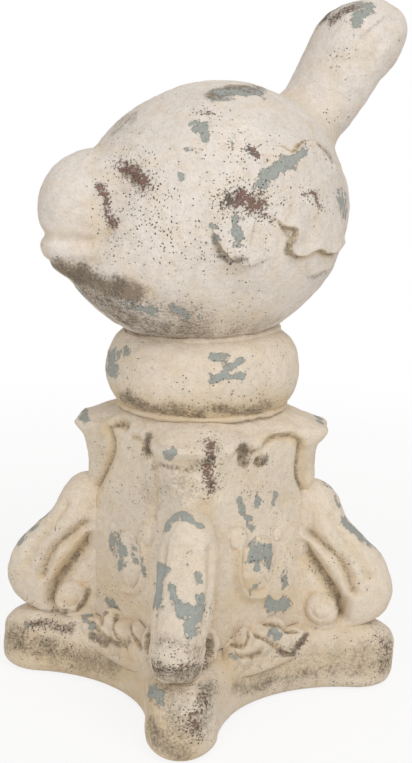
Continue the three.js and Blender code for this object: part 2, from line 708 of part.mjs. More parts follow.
// Rings across the leaf. Each is an arch from the core's side over the crest and back, closed behind.
function leafSolid(growth) {
  const rows = 15;
  const arch = [-90, -72, -54, -36, -12, 12, 36, 54, 72, 90].map(THREE.MathUtils.degToRad);
  const rings = [];
  for (let i = 0; i <= rows; i++) {
    const ring = arch.map((angle) => leafPoint(i / rows, angle, growth));
    const root = ring[ring.length - 1];
    const back = root.x - pedestalWall + 2;
    ring.push(new THREE.Vector3(back, root.y / 2, root.z));
    ring.push(new THREE.Vector3(back, -root.y / 2, root.z));
    rings.push(ring);
  }
  const blade = solidOf(ringedGeometry(rings, "fan"));
  const scroll = new THREE.CapsuleGeometry(leafScrollRadius + growth, leafHalfWidth, 2, 10);
  scroll.translate(leafTipReach + 2, 0, pedestalFoot + leafScrollRadius + 2);
  return blade.add(solidOf(scroll));
}

function leafGeometry() {
  let carved = leafSolid(0);
  leafGrooves.forEach(({ radius, standOff, line }) => {
    [1, -1].forEach((side) => {
      const path = leafLine(line).map(({ x, y }) => {
        const off = leafSideAt(x, y) + standOff;
        return new THREE.Vector3(x, side * off, pedestalFoot + y);
      });
      carved = carved.subtract(barSolid(path, radius, 7));
    });
  });
  const seated = carved.subtract(pedestalSolid(clearance)).subtract(plinthSolid(clearance));
  return geometryOf(largestBody(seated));
}

// Face ornaments, in a frame where +X is the face's outward direction and Y runs along the face

// What stands beside an ornament: the core, the plinth and the leaves on both corners, with clearance.
function cutToFace(solid) {
  const turned = pedestalSolid(clearance).add(plinthSolid(clearance)).rotate([0, 0, -45]);
  const leaves = [45, -45].map((turn) => leafSolid(clearance).rotate([0, 0, turn]));
  const cut = leaves.reduce((rest, leaf) => rest.subtract(leaf), solid.subtract(turned));
  return geometryOf(largestBody(cut));
}

// An egg in a scrolled frame with a volute at each upper end, on a thin ground.
function cartoucheGeometry() {
  const middle = pedestalFoot + eggHeight;
  const [half, drop] = [eggHalfWidth + frameGap, eggHalfHeight + frameGap];
  const frameReach = faceReachFoot + plaqueThickness;
  const egg = ballSolid(faceReachFoot, 0, middle, eggRelief, eggHalfWidth, eggHalfHeight, 14, 10);
  const path = [new THREE.Vector3(frameReach, half, middle + eggHalfHeight)];
  for (let i = 0; i <= 8; i++) {
    const turn = Math.PI * (i / 8);
    path.push(new THREE.Vector3(frameReach, half * Math.cos(turn), middle - drop * Math.sin(turn)));
  }
  path.push(new THREE.Vector3(frameReach, -half, middle + eggHalfHeight));
  const disc = new THREE.CylinderGeometry(1, 1, 2 * pedestalWall, 16).rotateZ(Math.PI / 2);
  disc.scale(1, half, drop).translate(frameReach - pedestalWall, 0, middle);
  let solid = egg.add(barSolid(path, frameTube, 14)).add(solidOf(disc));
  [half, -half].forEach((y) => {
    const size = voluteRadius;
    solid = solid.add(ballSolid(frameReach, y - Math.sign(y), middle + eggHalfHeight, size, size, size));
  });
  return cutToFace(solid);
}

// Lumps over the plinth's hollow side: a rosette in the middle and curls on both sides of it.
function fleuronGeometry() {
  const lumpAt = ([y, z, size], side) =>
    ballSolid(plinthSideAt(y) - fleuronSink, side * y, plinthHeight + z, size, size, size);
  const [rosette, ...curls] = fleuronLumps;
  const sides = [1, -1].flatMap((side) => curls.map((curl) => lumpAt(curl, side)));
  return cutToFace(sides.reduce((joined, lump) => joined.add(lump), lumpAt(rosette, 1)));
}

// Assembly

const ornament = new THREE.Group();
const turnedToBeak = new THREE.Group();
turnedToBeak.rotation.z = THREE.MathUtils.degToRad(birdTurn);
const bird = new THREE.Group();
bird.position.z = birdFoot;
bird.add(
  namedMesh("bird_body", birdBody(), birdPaint),
  namedMesh("wing_left", wingGeometry(-1), wingPaint),
  namedMesh("wing_right", wingGeometry(1), wingPaint),
);
turnedToBeak.add(
  bird,
  namedMesh("mortar_bed_upper", upperBedGeometry(), mortarPaint),
  namedMesh("neck_ring", ringGeometry(), birdPaint),
);
ornament.add(
  turnedToBeak,
  namedMesh("mortar_bed_lower", lowerBedGeometry(), mortarPaint),
  namedMesh("pedestal_core", pedestalCore(), stonePaint),
  namedMesh("plinth", plinthGeometry(), stonePaint),
);

const [leaf, cartouche, fleuron] = [leafGeometry(), cartoucheGeometry(), fleuronGeometry()];
quarterTurns.forEach((quarter) => {
  const leafMesh = namedMesh(`corner_leaf_${cornerNames[quarter]}`, leaf, leafPaint);
  leafMesh.rotation.z = quarter * (Math.PI / 2);
  const cartoucheMesh = namedMesh(`face_cartouche_${faceNames[quarter]}`, cartouche, leafPaint);
  const fleuronMesh = namedMesh(`plinth_fleuron_${faceNames[quarter]}`, fleuron, leafPaint);
  cartoucheMesh.rotation.z = (quarter + 0.5) * (Math.PI / 2);
  fleuronMesh.rotation.z = cartoucheMesh.rotation.z;
  ornament.add(leafMesh, cartoucheMesh, fleuronMesh);
});

export default ornament;
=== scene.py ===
"""Garden ornament: the painted castings of a round bird on a cushion ring, a leaf-cornered pedestal and a
four-lobed plinth. Lengths are in millimetres, and the meshes are written in metres."""

import math
from functools import partial

import bpy
import numpy as np
from bpy.props import FloatProperty, FloatVectorProperty, IntProperty, PointerProperty
from mathutils import Matrix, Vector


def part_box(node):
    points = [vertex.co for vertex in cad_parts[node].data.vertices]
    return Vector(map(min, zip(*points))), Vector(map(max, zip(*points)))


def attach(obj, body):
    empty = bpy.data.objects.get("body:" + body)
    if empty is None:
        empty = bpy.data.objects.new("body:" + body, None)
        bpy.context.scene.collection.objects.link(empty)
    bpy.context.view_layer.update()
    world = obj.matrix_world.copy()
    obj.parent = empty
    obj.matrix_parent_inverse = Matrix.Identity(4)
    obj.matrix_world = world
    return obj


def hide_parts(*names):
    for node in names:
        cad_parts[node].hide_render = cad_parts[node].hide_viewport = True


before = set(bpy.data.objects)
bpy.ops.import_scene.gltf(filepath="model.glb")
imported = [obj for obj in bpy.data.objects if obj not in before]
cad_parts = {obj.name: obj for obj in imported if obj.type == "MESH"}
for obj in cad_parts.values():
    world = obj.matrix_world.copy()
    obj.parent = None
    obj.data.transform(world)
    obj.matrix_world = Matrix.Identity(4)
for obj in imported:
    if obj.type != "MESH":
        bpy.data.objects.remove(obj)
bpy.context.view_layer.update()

bl_info = {
    "name": "Cast Garden Bird",
    "version": (1, 0, 0),
    "blender": (4, 5, 0),
    "location": "3D View > Sidebar > Garden Bird",
    "description": "Builds the painted castings of a garden bird on its pedestal",
    "category": "Add Mesh",
}

METRE = 0.001


def top_of(node):
    """Height of a node's highest point, in millimetres."""
    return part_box(node)[1].z / METRE


def foot_of(node):
    """Height of a node's lowest point, in millimetres."""
    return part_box(node)[0].z / METRE


# Heights, read from the frame. The bird's own base lies inside the ring, at the belly's seat.
PLINTH_TOP = top_of("plinth")
PEDESTAL_FOOT = foot_of("pedestal_core")
BED_FOOT = foot_of("mortar_bed_lower")
RING_FOOT = foot_of("neck_ring")
BELLY_SEAT = 41
BIRD_FOOT = RING_FOOT + BELLY_SEAT

CORNERS = ["right", "back", "left", "front"]
FACES = ["back_right", "back_left", "front_left", "front_right"]
# Kinds of mark: flakes to the blue coat, pits, grime with painted shade, and yellowed paint with painted
# shade
WEAR_AND_SHADE = ["blue", "specks", "grime", "warm"]
# The picture's width and height in pixels, and the height of the camera's frame in millimetres
PICTURE = (412, 763)
SENSOR_HEIGHT = 36
# The wings' carved edges have their own heights at this relief
WING_RELIEF = 4.2

# Sizes that the castings' forms share, in millimetres
BODY = {"x": 3.5, "z": 96, "along": 103.5, "side": 99, "across": 93.5, "tilt": 0.53}
BREAST = {"x": -21.5, "z": 65, "along": 77.5, "side": 76, "across": 45, "tilt": 0}
UPPER_BEAK = {"x": -83.5, "z": 101.5, "along": 41.5, "side": 36.5, "across": 41.5, "tilt": 0}
LOWER_BEAK = {"x": -97, "z": 77, "along": 27, "side": 26, "across": 23, "tilt": 0}
TAIL_ROOT = {"x": 90, "z": 176, "radius": 26}
TAIL_END = {"x": 116.7, "z": 219, "radius": 28.8}
TAIL_TIP = {"x": 124.8, "z": 225, "along": 36.5, "side": 26.5, "across": 26.8, "tilt": 0.6}
TAIL_WIDENING = 1.35
BLENDS = {"breast": 20, "beak": 12, "mouth": 5, "tail": 19, "tip": 10}

PEDESTAL_HEIGHT = 165
RIM_HEIGHT = 154
# Heights over the core's foot with the reach of a corner, the reach of a face, and how much further a face
# reaches beside the ears
CORNER_PROFILE = [
    (0, 90), (79, 88), (102, 86), (126, 86), (140, 88), (144.7, 92), (150.5, 95), (154, 92),
]
FACE_PROFILE = [(0, 67), (57, 66), (79, 66), (126, 68), (147, 70), (154, 68)]
SWEEP_PROFILE = [(119, 0), (135.3, 4.75), (147, 9.5)]
EAR_OFF_ANGLE = 0.6
CORNER_ROUND = 5
# The carving of the faces fades out over this angle beside a corner
CORNER_PLAIN = 0.1
LID_REACH = 56
LID_SQUARENESS = 1.4
# Reach and height of the rings of the bore, and how many of the last rings stay plain
PEDESTAL_BORE = [(44.0, 165.0), (40.0, 150.0), (40.0, 2.0)]
PLAIN_ROWS = 6

LOBE_REACH = 153
LOBE_HALF_WIDTH = 26
LOBE_TIP = 32
LOBE_SHOULDER = LOBE_REACH - LOBE_TIP
PLINTH_SIDE_REACH = 77
PLINTH_HOLE = 56
# Each hollow side of the plinth is an arc between two shoulders, at 45 degrees to the lobes
HOLLOW_HALF_SPAN = (LOBE_SHOULDER - LOBE_HALF_WIDTH) / math.sqrt(2)
HOLLOW_RISE = (LOBE_SHOULDER + LOBE_HALF_WIDTH) / math.sqrt(2) - PLINTH_SIDE_REACH
HOLLOW_RADIUS = (HOLLOW_HALF_SPAN**2 + HOLLOW_RISE**2) / (2 * HOLLOW_RISE)

# Unevenness of each casting, in millimetres, over 46, 15 and 5 mm
UNEVENNESS = {
    "bird": (0.9, 0.7, 0.34),
    "ring": (1.2, 0.55, 0.3),
    "pedestal": (1.1, 0.6, 0.3),
    "plinth": (1.3, 0.7, 0.35),
    "leaf": (1.0, 0.6, 0.3),
    "fleuron": (0.8, 0.6, 0.3),
}


def length(name, default, description):
    """A property in millimetres."""
    return FloatProperty(name=name, description=description + ", mm", default=default)


def heading(name, degrees, description):
    """An angle whose default is given in degrees."""
    return FloatProperty(name=name, description=description, default=math.radians(degrees), subtype="ANGLE",
                         unit="ROTATION")


class CameraPlace(bpy.types.PropertyGroup):
    place: FloatVectorProperty(name="Place", description="Where the camera stands, mm", size=3,
                               default=(69.0746, -899.3563, 419.214), subtype="XYZ")
    turn: heading("Turn", 4.2, "Camera's heading")
    pitch: heading("Pitch", 11.75, "How far it looks down")
    roll: heading("Roll", -1.2, "Lean of the camera")
    lens: FloatProperty(name="Lens", description="Focal length on a 36 mm high frame", default=58.03,
                        unit="CAMERA")


class LightLevels(bpy.types.PropertyGroup):
    key: FloatProperty(name="Key", description="Lamp above the front right, in watts", default=12.4)
    fill: FloatProperty(name="Fill", description="Low lamp at the front, in watts", default=7.6)
    dome: FloatProperty(name="Dome", description="Strength of the light from all round", default=0.57)


class BirdSizes(bpy.types.PropertyGroup):
    turn: heading("Turn", 28.2, "Beak turned from -X towards -Y")
    mouth_depth: length("Mouth depth", 3.4, "Depth of the mouth's groove")
    eye_radius: length("Eye radius", 6.5, "Middle of the ridge round an eye")
    wing_relief: length("Wing relief", WING_RELIEF, "Rise of a wing off the flank")
    columns: IntProperty(name="Columns", description="Points round the bird's skin", default=300)


class PedestalSizes(bpy.types.PropertyGroup):
    ring_reach: length("Ring reach", 72.5, "Axis to the ring's fullest part")
    ring_swell: length("Ring swell", 30.5, "Width of the ring's rounded part")
    panel_rise: length("Panel rise", 1.6, "Rise of a face's cushion")
    groove_depth: length("Groove depth", 3.8, "Depth of the panels' grooves")
    leaf_groove: length("Leaf groove", 6.2, "Depth of a leaf's grooves")
    egg_relief: length("Egg relief", 5.5, "Rise of the egg on each face")
    frame_relief: length("Frame relief", 4.8, "Rise of the scroll round an egg")


def paint_colour(name, description, value):
    """A colour property whose default is an sRGB hex value turned to linear."""
    return FloatVectorProperty(name=name, description=description, size=3, subtype="COLOR", min=0, max=1,
                               default=linear(value))


def linear(value):
    """Linear red, green and blue of an sRGB hex value."""
    levels = [int(value[i : i + 2], 16) / 255 for i in (0, 2, 4)]
    return tuple(c / 12.92 if c <= 0.04045 else ((c + 0.055) / 1.055) ** 2.4 for c in levels)


class PaintColours(bpy.types.PropertyGroup):
    bird: paint_colour("Bird", "Cream coat of the bird", "F0E6DC")
    stone: paint_colour("Stone", "Warmer cream coat of the pedestal", "EFE1CE")
    # The warm colour also paints shade in the hollows and on shaded sides, and the grime colour paints shade
    # in grooves, pockets, under carved edges and on shaded sides
    warm: paint_colour("Warm", "Yellowed paint in the hollows", "DBC196")
    grime: paint_colour("Grime", "Grey-brown weathering", "7A6D5D")
    blue: paint_colour("Blue", "Grey-blue coat under the cream", "A7ABA4")
    rust: paint_colour("Rust", "Red-brown primer in the chips", "7C5446")
    dark: paint_colour("Dark", "Dark dirt in the pits", "43362D")
    floor: paint_colour("Floor", "Pale floor", "F4F3F1")


# Arrays


def soft_least(a, b, width):
    """Smooth least of two values: the lesser, less a quarter of the width where they are equal."""
    overlap = np.maximum(width - np.abs(a - b), 0) / width
    return np.minimum(a, b) - overlap**2 * width / 4


def smooth_step(low, high, value):
    """0 below low, 1 above high, and 3t^2 - 2t^3 between."""
    t = np.clip((value - low) / (high - low), 0, 1)
    return t * t * (3 - 2 * t)


def read_profile(pairs, place):
    """Value at a place along [place, value] pairs: a cubic between them that never overshoots."""
    knots, values = np.array(pairs, float).T
    step = np.diff(knots)
    rate = np.diff(values) / step
    same = rate[:-1] * rate[1:] > 0
    before, after = np.where(same, rate[:-1], 1), np.where(same, rate[1:], 1)
    slope = np.concatenate([[rate[0]], np.where(same, 2 * before * after / (before + after), 0), [rate[-1]]])
    i = np.clip(np.searchsorted(knots, place) - 1, 0, len(step) - 1)
    t = np.clip((place - knots[i]) / step[i], 0, 1)
    rise = values[i] * (1 + 2 * t) * (1 - t) ** 2 + values[i + 1] * t * t * (3 - 2 * t)
    return rise + step[i] * (slope[i] * t * (1 - t) ** 2 - slope[i + 1] * t * t * (1 - t))


def curve_through(points, count, closed=False):
    """Points along a Catmull-Rom curve through the given ones, evenly spaced by length."""
    knots = np.array(points, float)
    if closed:
        knots = np.vstack([knots[-1:], knots, knots[:2]])
    else:
        knots = np.vstack([2 * knots[0] - knots[1], knots, 2 * knots[-1] - knots[-2]])
    t = np.linspace(0, 1, 24, endpoint=False)[:, None]
    spans = [
        0.5 * (2 * b + (c - a) * t + (2 * a - 5 * b + 4 * c - d) * t**2 + (3 * b - a - 3 * c + d) * t**3)
        for a, b, c, d in zip(knots[:-3], knots[1:-2], knots[2:-1], knots[3:])
    ]
    return evenly_spaced(np.vstack([*spans, knots[-2][None]]), count, closed)


def evenly_spaced(path, count, closed):
    """Points spaced evenly by length along a path, without the last one where it closes on the first."""
    run = np.concatenate([[0], np.cumsum(np.linalg.norm(np.diff(path, axis=0), axis=1))])
    wanted = np.linspace(0, run[-1], count, endpoint=not closed)
    return np.stack([np.interp(wanted, run, column) for column in path.T], -1)


def line_distance(points, line):
    """Least distance from each point to a bent line with as many dimensions."""
    line = np.array(line, float)
    best = np.full(points.shape[:-1], np.inf)
    for start, end in zip(line[:-1], line[1:]):
        run = end - start
        share = np.clip((points - start) @ run / max(run @ run, 1e-9), 0, 1)
        best = np.minimum(best, np.linalg.norm(points - start - share[..., None] * run, axis=-1))
    return best


def ridge(distance, half_width, height=1.0):
    """A bell across a line: its height on the line and about a third of that at its half width."""
    return height * np.exp(-((distance / half_width) ** 2))


def lattice_noise(points, pitch, seed):
    """Smooth random heights from -1 to 1: hashed values at the corners of a cubic lattice, blended by
    t^2 (3 - 2t) along each axis."""
    cell = np.floor(points / pitch)
    part = points / pitch - cell
    part = part * part * (3 - 2 * part)
    cell = cell.astype(np.int64)
    total = np.zeros(points.shape[:-1])
    for corner in np.ndindex(2, 2, 2):
        x, y, z = (cell[..., axis] + corner[axis] for axis in range(3))
        value = (x * 73856093) ^ (y * 19349663) ^ (z * 83492791) ^ (seed * 2654435761)
        value = ((value ^ (value >> 13)) * 1274126177) & 0x7FFFFFFF
        value = ((value ^ (value >> 15)) * 668265263) & 0xFFFF
        weight = 1.0
        for axis in range(3):
            weight = weight * (part[..., axis] if corner[axis] else 1 - part[..., axis])
        total += weight * (value / 32767.5 - 1)
    return total


def casting_noise(points, casting):
    """Unevenness of a hand-finished casting: three octaves of lattice noise, 46, 15 and 5 mm wide."""
    low, middle, fine = UNEVENNESS[casting]
    coarse = low * (lattice_noise(points, 46, 3) - 0.35) + middle * lattice_noise(points, 15, 5)
    return coarse + fine * lattice_noise(points, 5, 7)


def turned(points, angle):
    """Points turned about the Z axis."""
    cosine, sine = math.cos(angle), math.sin(angle)
    x, y, z = points[..., 0], points[..., 1], points[..., 2]
    return np.stack([x * cosine - y * sine, x * sine + y * cosine, z], -1)


def polar(radius, angle, height):
    """Points at a radius, an angle and a height, on one grid."""
    return np.stack(np.broadcast_arrays(radius * np.cos(angle), radius * np.sin(angle), height), -1)


def grid_outward(rings, loop=False):
    """Unit outward directions of rings of points: the differences round and along the grid, crossed,
    and turned so that the enclosed volume is positive."""
    around = np.roll(rings, -1, 1) - np.roll(rings, 1, 1)
    along = np.roll(rings, -1, 0) - np.roll(rings, 1, 0)
    if not loop:
        along[0], along[-1] = rings[1] - rings[0], rings[-1] - rings[-2]
    normal = np.cross(around, along)
    middle = rings.reshape(-1, 3).mean(0)
    side = 1 if np.sum(normal * (rings - middle)) > 0 else -1
    return side * normal / np.maximum(np.linalg.norm(normal, axis=-1, keepdims=True), 1e-9)


def hollowness(rings, reach, loop=False):
    """0 on open stretches to 1 in creases: how far the surface lies under the mean of its neighbours, a
    few grid steps away, as a share of the reach in millimetres."""
    outward = grid_outward(rings, loop)
    total = np.zeros(rings.shape[:-1])
    for step in (2, 4, 7):
        mean = (np.roll(rings, step, 1) + np.roll(rings, -step, 1)) / 4
        if loop:
            mean += (np.roll(rings, step, 0) + np.roll(rings, -step, 0)) / 4
        else:
            rows = np.arange(len(rings))
            below, above = np.maximum(rows - step, 0), np.minimum(rows + step, len(rings) - 1)
            even = ((rows - below) == (above - rows))[:, None, None]
            mean += np.where(even, (rings[below] + rings[above]) / 4, mean)
        total += np.sum((mean - rings) * outward, axis=-1)
    return np.clip(total / reach, 0, 1)


# The camera's picture, used to place marks of wear and painted shade on the side that it sees


def camera_axes(camera):
    """Forward, right and up of the camera: turned about Z, pitched down and rolled."""
    forward = np.array([-math.sin(camera.turn), math.cos(camera.turn), 0])
    right = np.array([math.cos(camera.turn), math.sin(camera.turn), 0])
    up = np.array([0, 0, 1])
    ahead = forward * math.cos(camera.pitch) - up * math.sin(camera.pitch)
    above = up * math.cos(camera.pitch) + forward * math.sin(camera.pitch)
    across = right * math.cos(camera.roll) - above * math.sin(camera.roll)
    return ahead, across, above * math.cos(camera.roll) + right * math.sin(camera.roll)


def picture_place(points):
    """Pixel of each point in the camera's picture."""
    camera = bpy.context.scene.bird_camera
    ahead, across, above = camera_axes(camera)
    offset = points - np.array(camera.place)
    depth = offset @ ahead
    focal = camera.lens / SENSOR_HEIGHT * PICTURE[1]
    return np.stack([PICTURE[0] / 2 + focal * (offset @ across) / depth,
                     PICTURE[1] / 2 - focal * (offset @ above) / depth], -1)


# How marks stray from their lines: noise pitch in millimetres and reach in pixels
WANDERING = [(16, 3.2), (6, 2.2)]
WANDERING_SEEDS = (31, 37)
# Cosines between the surface and the line of sight where a mark begins to show and shows in full
FACING = (0.02, 0.25)
# Flakes end more sharply than the other marks
FALLOFF = {"blue": 3, "specks": 2, "grime": 2, "warm": 2}


def marks_on(points, outward, marks, copy):
    """Cover of each kind of wear and painted shade, from 0 to 1. A mark is a strength, a half width in pixels
    and a line of pixels. It falls off across its half width, with edges that wander, on surfaces that face
    the camera. The copy turns or mirrors the surface, which is marked again, so that the hidden sides wear
    alike."""
    cover = {kind: np.zeros(points.shape[:-1]) for kind in WEAR_AND_SHADE}
    eye = np.array(bpy.context.scene.bird_camera.place)
    for place, facing in [(points, outward)] + ([(copy(points), copy(outward))] if copy else []):
        sight = eye - place
        seen = smooth_step(*FACING, np.sum(facing * sight, -1) / np.linalg.norm(sight, axis=-1))
        pixels = picture_place(place)
        for pitch, stray in WANDERING:
            drift = [lattice_noise(place, pitch, seed) for seed in WANDERING_SEEDS]
            pixels = pixels + stray * np.stack(drift, -1)
        for kind, strength, width, *line in [(kind, *mark) for kind in WEAR_AND_SHADE for mark in marks[kind]]:
            low, high = np.min(line, 0) - 3 * width, np.max(line, 0) + 3 * width
            near = np.all((pixels > low) & (pixels < high), axis=-1) & (seen > 0)
            falloff = (line_distance(pixels[near], line) / width) ** FALLOFF[kind]
            cover[kind][near] = np.maximum(cover[kind][near], strength * seen[near] * np.exp(-falloff))
    return cover


def half_turned(points):
    """Points turned half way round the axis."""
    return points * np.array([-1, -1, 1])


def bird_mirrored(points):
    """Points mirrored about the bird's own middle plane."""
    turn = bpy.context.scene.bird_sizes.turn
    return turned(turned(points, -turn) * np.array([1, -1, 1]), turn)


# Most painted shade and dirt in a carved line, most yellowed paint and painted shade in a hollow, and how
# far into a crease it is complete
LINE_SHADE_AND_DIRT_MOST = 0.62
HOLLOW_YELLOWING_AND_SHADE_MOST = 0.9
HOLLOW_YELLOWING_AND_SHADE_REACH = 0.7


def dressed(points, marks, copy=half_turned, loop=False, crease=6.0, shade_and_dirt=None):
    """Wear and painted shade of a piece: its marks, yellowed paint and painted shade where the surface is
    hollow, and dirt and painted shade in its carved lines, given as a cover from 0 to 1. The crease says how
    deep the piece's hollows are, in millimetres."""
    outward = grid_outward(points, loop)
    cover = marks_on(points, outward, marks, copy)
    # Dirt and painted shade in the carved lines
    if shade_and_dirt is not None:
        cover["grime"] = np.maximum(cover["grime"], LINE_SHADE_AND_DIRT_MOST * shade_and_dirt)
        cover["warm"] = np.maximum(cover["warm"], shade_and_dirt)
    # Yellowed paint and painted shade in the hollows
    hollow = hollowness(points, HOLLOW_YELLOWING_AND_SHADE_REACH * crease, loop)
    cover["warm"] = np.maximum(cover["warm"], HOLLOW_YELLOWING_AND_SHADE_MOST * hollow)
    return cover


# Meshes


def closed_mesh(name, rings, loop):
    """A mesh from rings of points. The ends close with a fan at their middles, or the last ring joins the
    first. The faces are turned round if the volume comes out negative."""
    rows, columns = rings.shape[:2]
    points = rings.reshape(-1, 3)
    first = np.arange(rows if loop else rows - 1)[:, None] * columns
    column = np.arange(columns)[None]
    beside = (column + 1) % columns
    above = (first + columns) % (rows * columns)
    quads = np.stack(np.broadcast_arrays(first + column, first + beside, above + beside, above + column), -1)
    quads = quads.reshape(-1, 4)
    corners = [points[quads[:, k]] for k in range(4)]
    volume = np.sum(np.cross(corners[0], corners[1]) * corners[2])
    volume += np.sum(np.cross(corners[0], corners[2]) * corners[3])
    fans = np.zeros((0, 3), int)
    if not loop:
        points = np.vstack([points, rings[0].mean(0), rings[-1].mean(0)])
        last = (rows - 1) * columns
        foot = np.stack([(column[0] + 1) % columns, column[0], np.full(columns, rows * columns)], -1)
        crown = np.stack([last + column[0], last + beside[0], np.full(columns, rows * columns + 1)], -1)
        fans = np.vstack([foot, crown])
        volume += np.sum(np.cross(points[fans[:, 0]], points[fans[:, 1]]) * points[fans[:, 2]])
    if volume < 0:
        quads, fans = quads[:, ::-1], fans[:, ::-1]
    mesh = bpy.data.meshes.new(name)
    mesh.from_pydata((points * METRE).tolist(), [], quads.tolist() + fans.tolist())
    mesh.update()
    mesh.shade_smooth()
    return mesh


def add_piece(name, node, slot, rings, wear_and_shade, loop=False):
    """A closed surface that replaces a node, with its wear and painted shade as attributes of its points. The
    object sits at the origin."""
    mesh = closed_mesh(name, rings, loop)
    for kind, cover in wear_and_shade.items():
        values = cover.reshape(-1)
        if not loop:
            values = np.append(values, [cover[0].mean(), cover[-1].mean()])
        layer = mesh.attributes.new(kind, "FLOAT", "POINT")
        layer.data.foreach_set("value", values.astype(np.float32))
    mesh.materials.append(shared_material(slot))
    piece = bpy.data.objects.new(name, mesh)
    bpy.context.collection.objects.link(piece)
    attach(piece, "root")
    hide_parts(node)


# Materials


def empty_tree(owner):
    """Node tree of a material or world, without its first nodes."""
    owner.use_nodes = True
    owner.node_tree.nodes.clear()
    return owner.node_tree


def add_node(tree, kind, *values, **settings):
    """Adds a node and returns its first output in use. The values go in order to its sockets in use, and
    the settings by name: small letters name a field, a capital names a socket. A value that is another
    node's output is linked."""
    node = tree.nodes.new("ShaderNode" + kind)
    named = {name: value for name, value in settings.items() if name[0].isupper()}
    for field in settings.keys() - named.keys():
        setattr(node, field, settings[field])
    in_use = [socket for socket in node.inputs if socket.enabled]
    given = list(zip(in_use, values)) + [(node.inputs[name], value) for name, value in named.items()]
    for socket, value in given:
        if isinstance(value, bpy.types.NodeSocket):
            tree.links.new(value, socket)
        else:
            socket.default_value = value
    return next((output for output in node.outputs if output.enabled), None)


# Noises in the paint: size of a feature in millimetres, detail, roughness, and shift of the pattern
PAINT_NOISES = {
    "drift": (70, 2, 0.55, 0),
    "cloud": (16, 4, 0.6, 3.1),
    "brushed": (6, 4, 0.65, 2.6),
    "fleck": (1.8, 2, 0.7, 5.7),
    "yellowing_and_shade": (9, 3, 0.6, 8.3),
    "stain_and_shade": (11, 3, 0.6, 1.9),
    "stain_and_shade_grain": (2.2, 4, 0.8, 0),
    "dirt_and_shade_tone": (13, 2, 0.5, 7.2),
    "tear": (6, 6, 0.78, 4.4),
    "stray_place": (26, 2, 0.5, 9.4),
    "stray_edge": (6, 5, 0.7, 2.2),
    "blue_tone": (3, 4, 0.7, 6.6),
    "pit_crowd": (28, 2, 0.5, 6.1),
    "pit_edge": (1.3, 2, 0.7, 0),
    "crust": (2.3, 4, 0.75, 7.7),
    "rust": (9, 3, 0.6, 3.8),
    "sand": (1.6, 3, 0.7, 0),
    "brush_drag": (6, 4, 0.65, 0),
}
# Spacing of the pits and how far their places stray, in millimetres
PIT_CELL = 2.1
PIT_WOBBLE = 2.6


def rgba(colour, shade=1.0):
    """A colour made darker or lighter, with full cover."""
    return (*[channel * shade for channel in colour], 1)


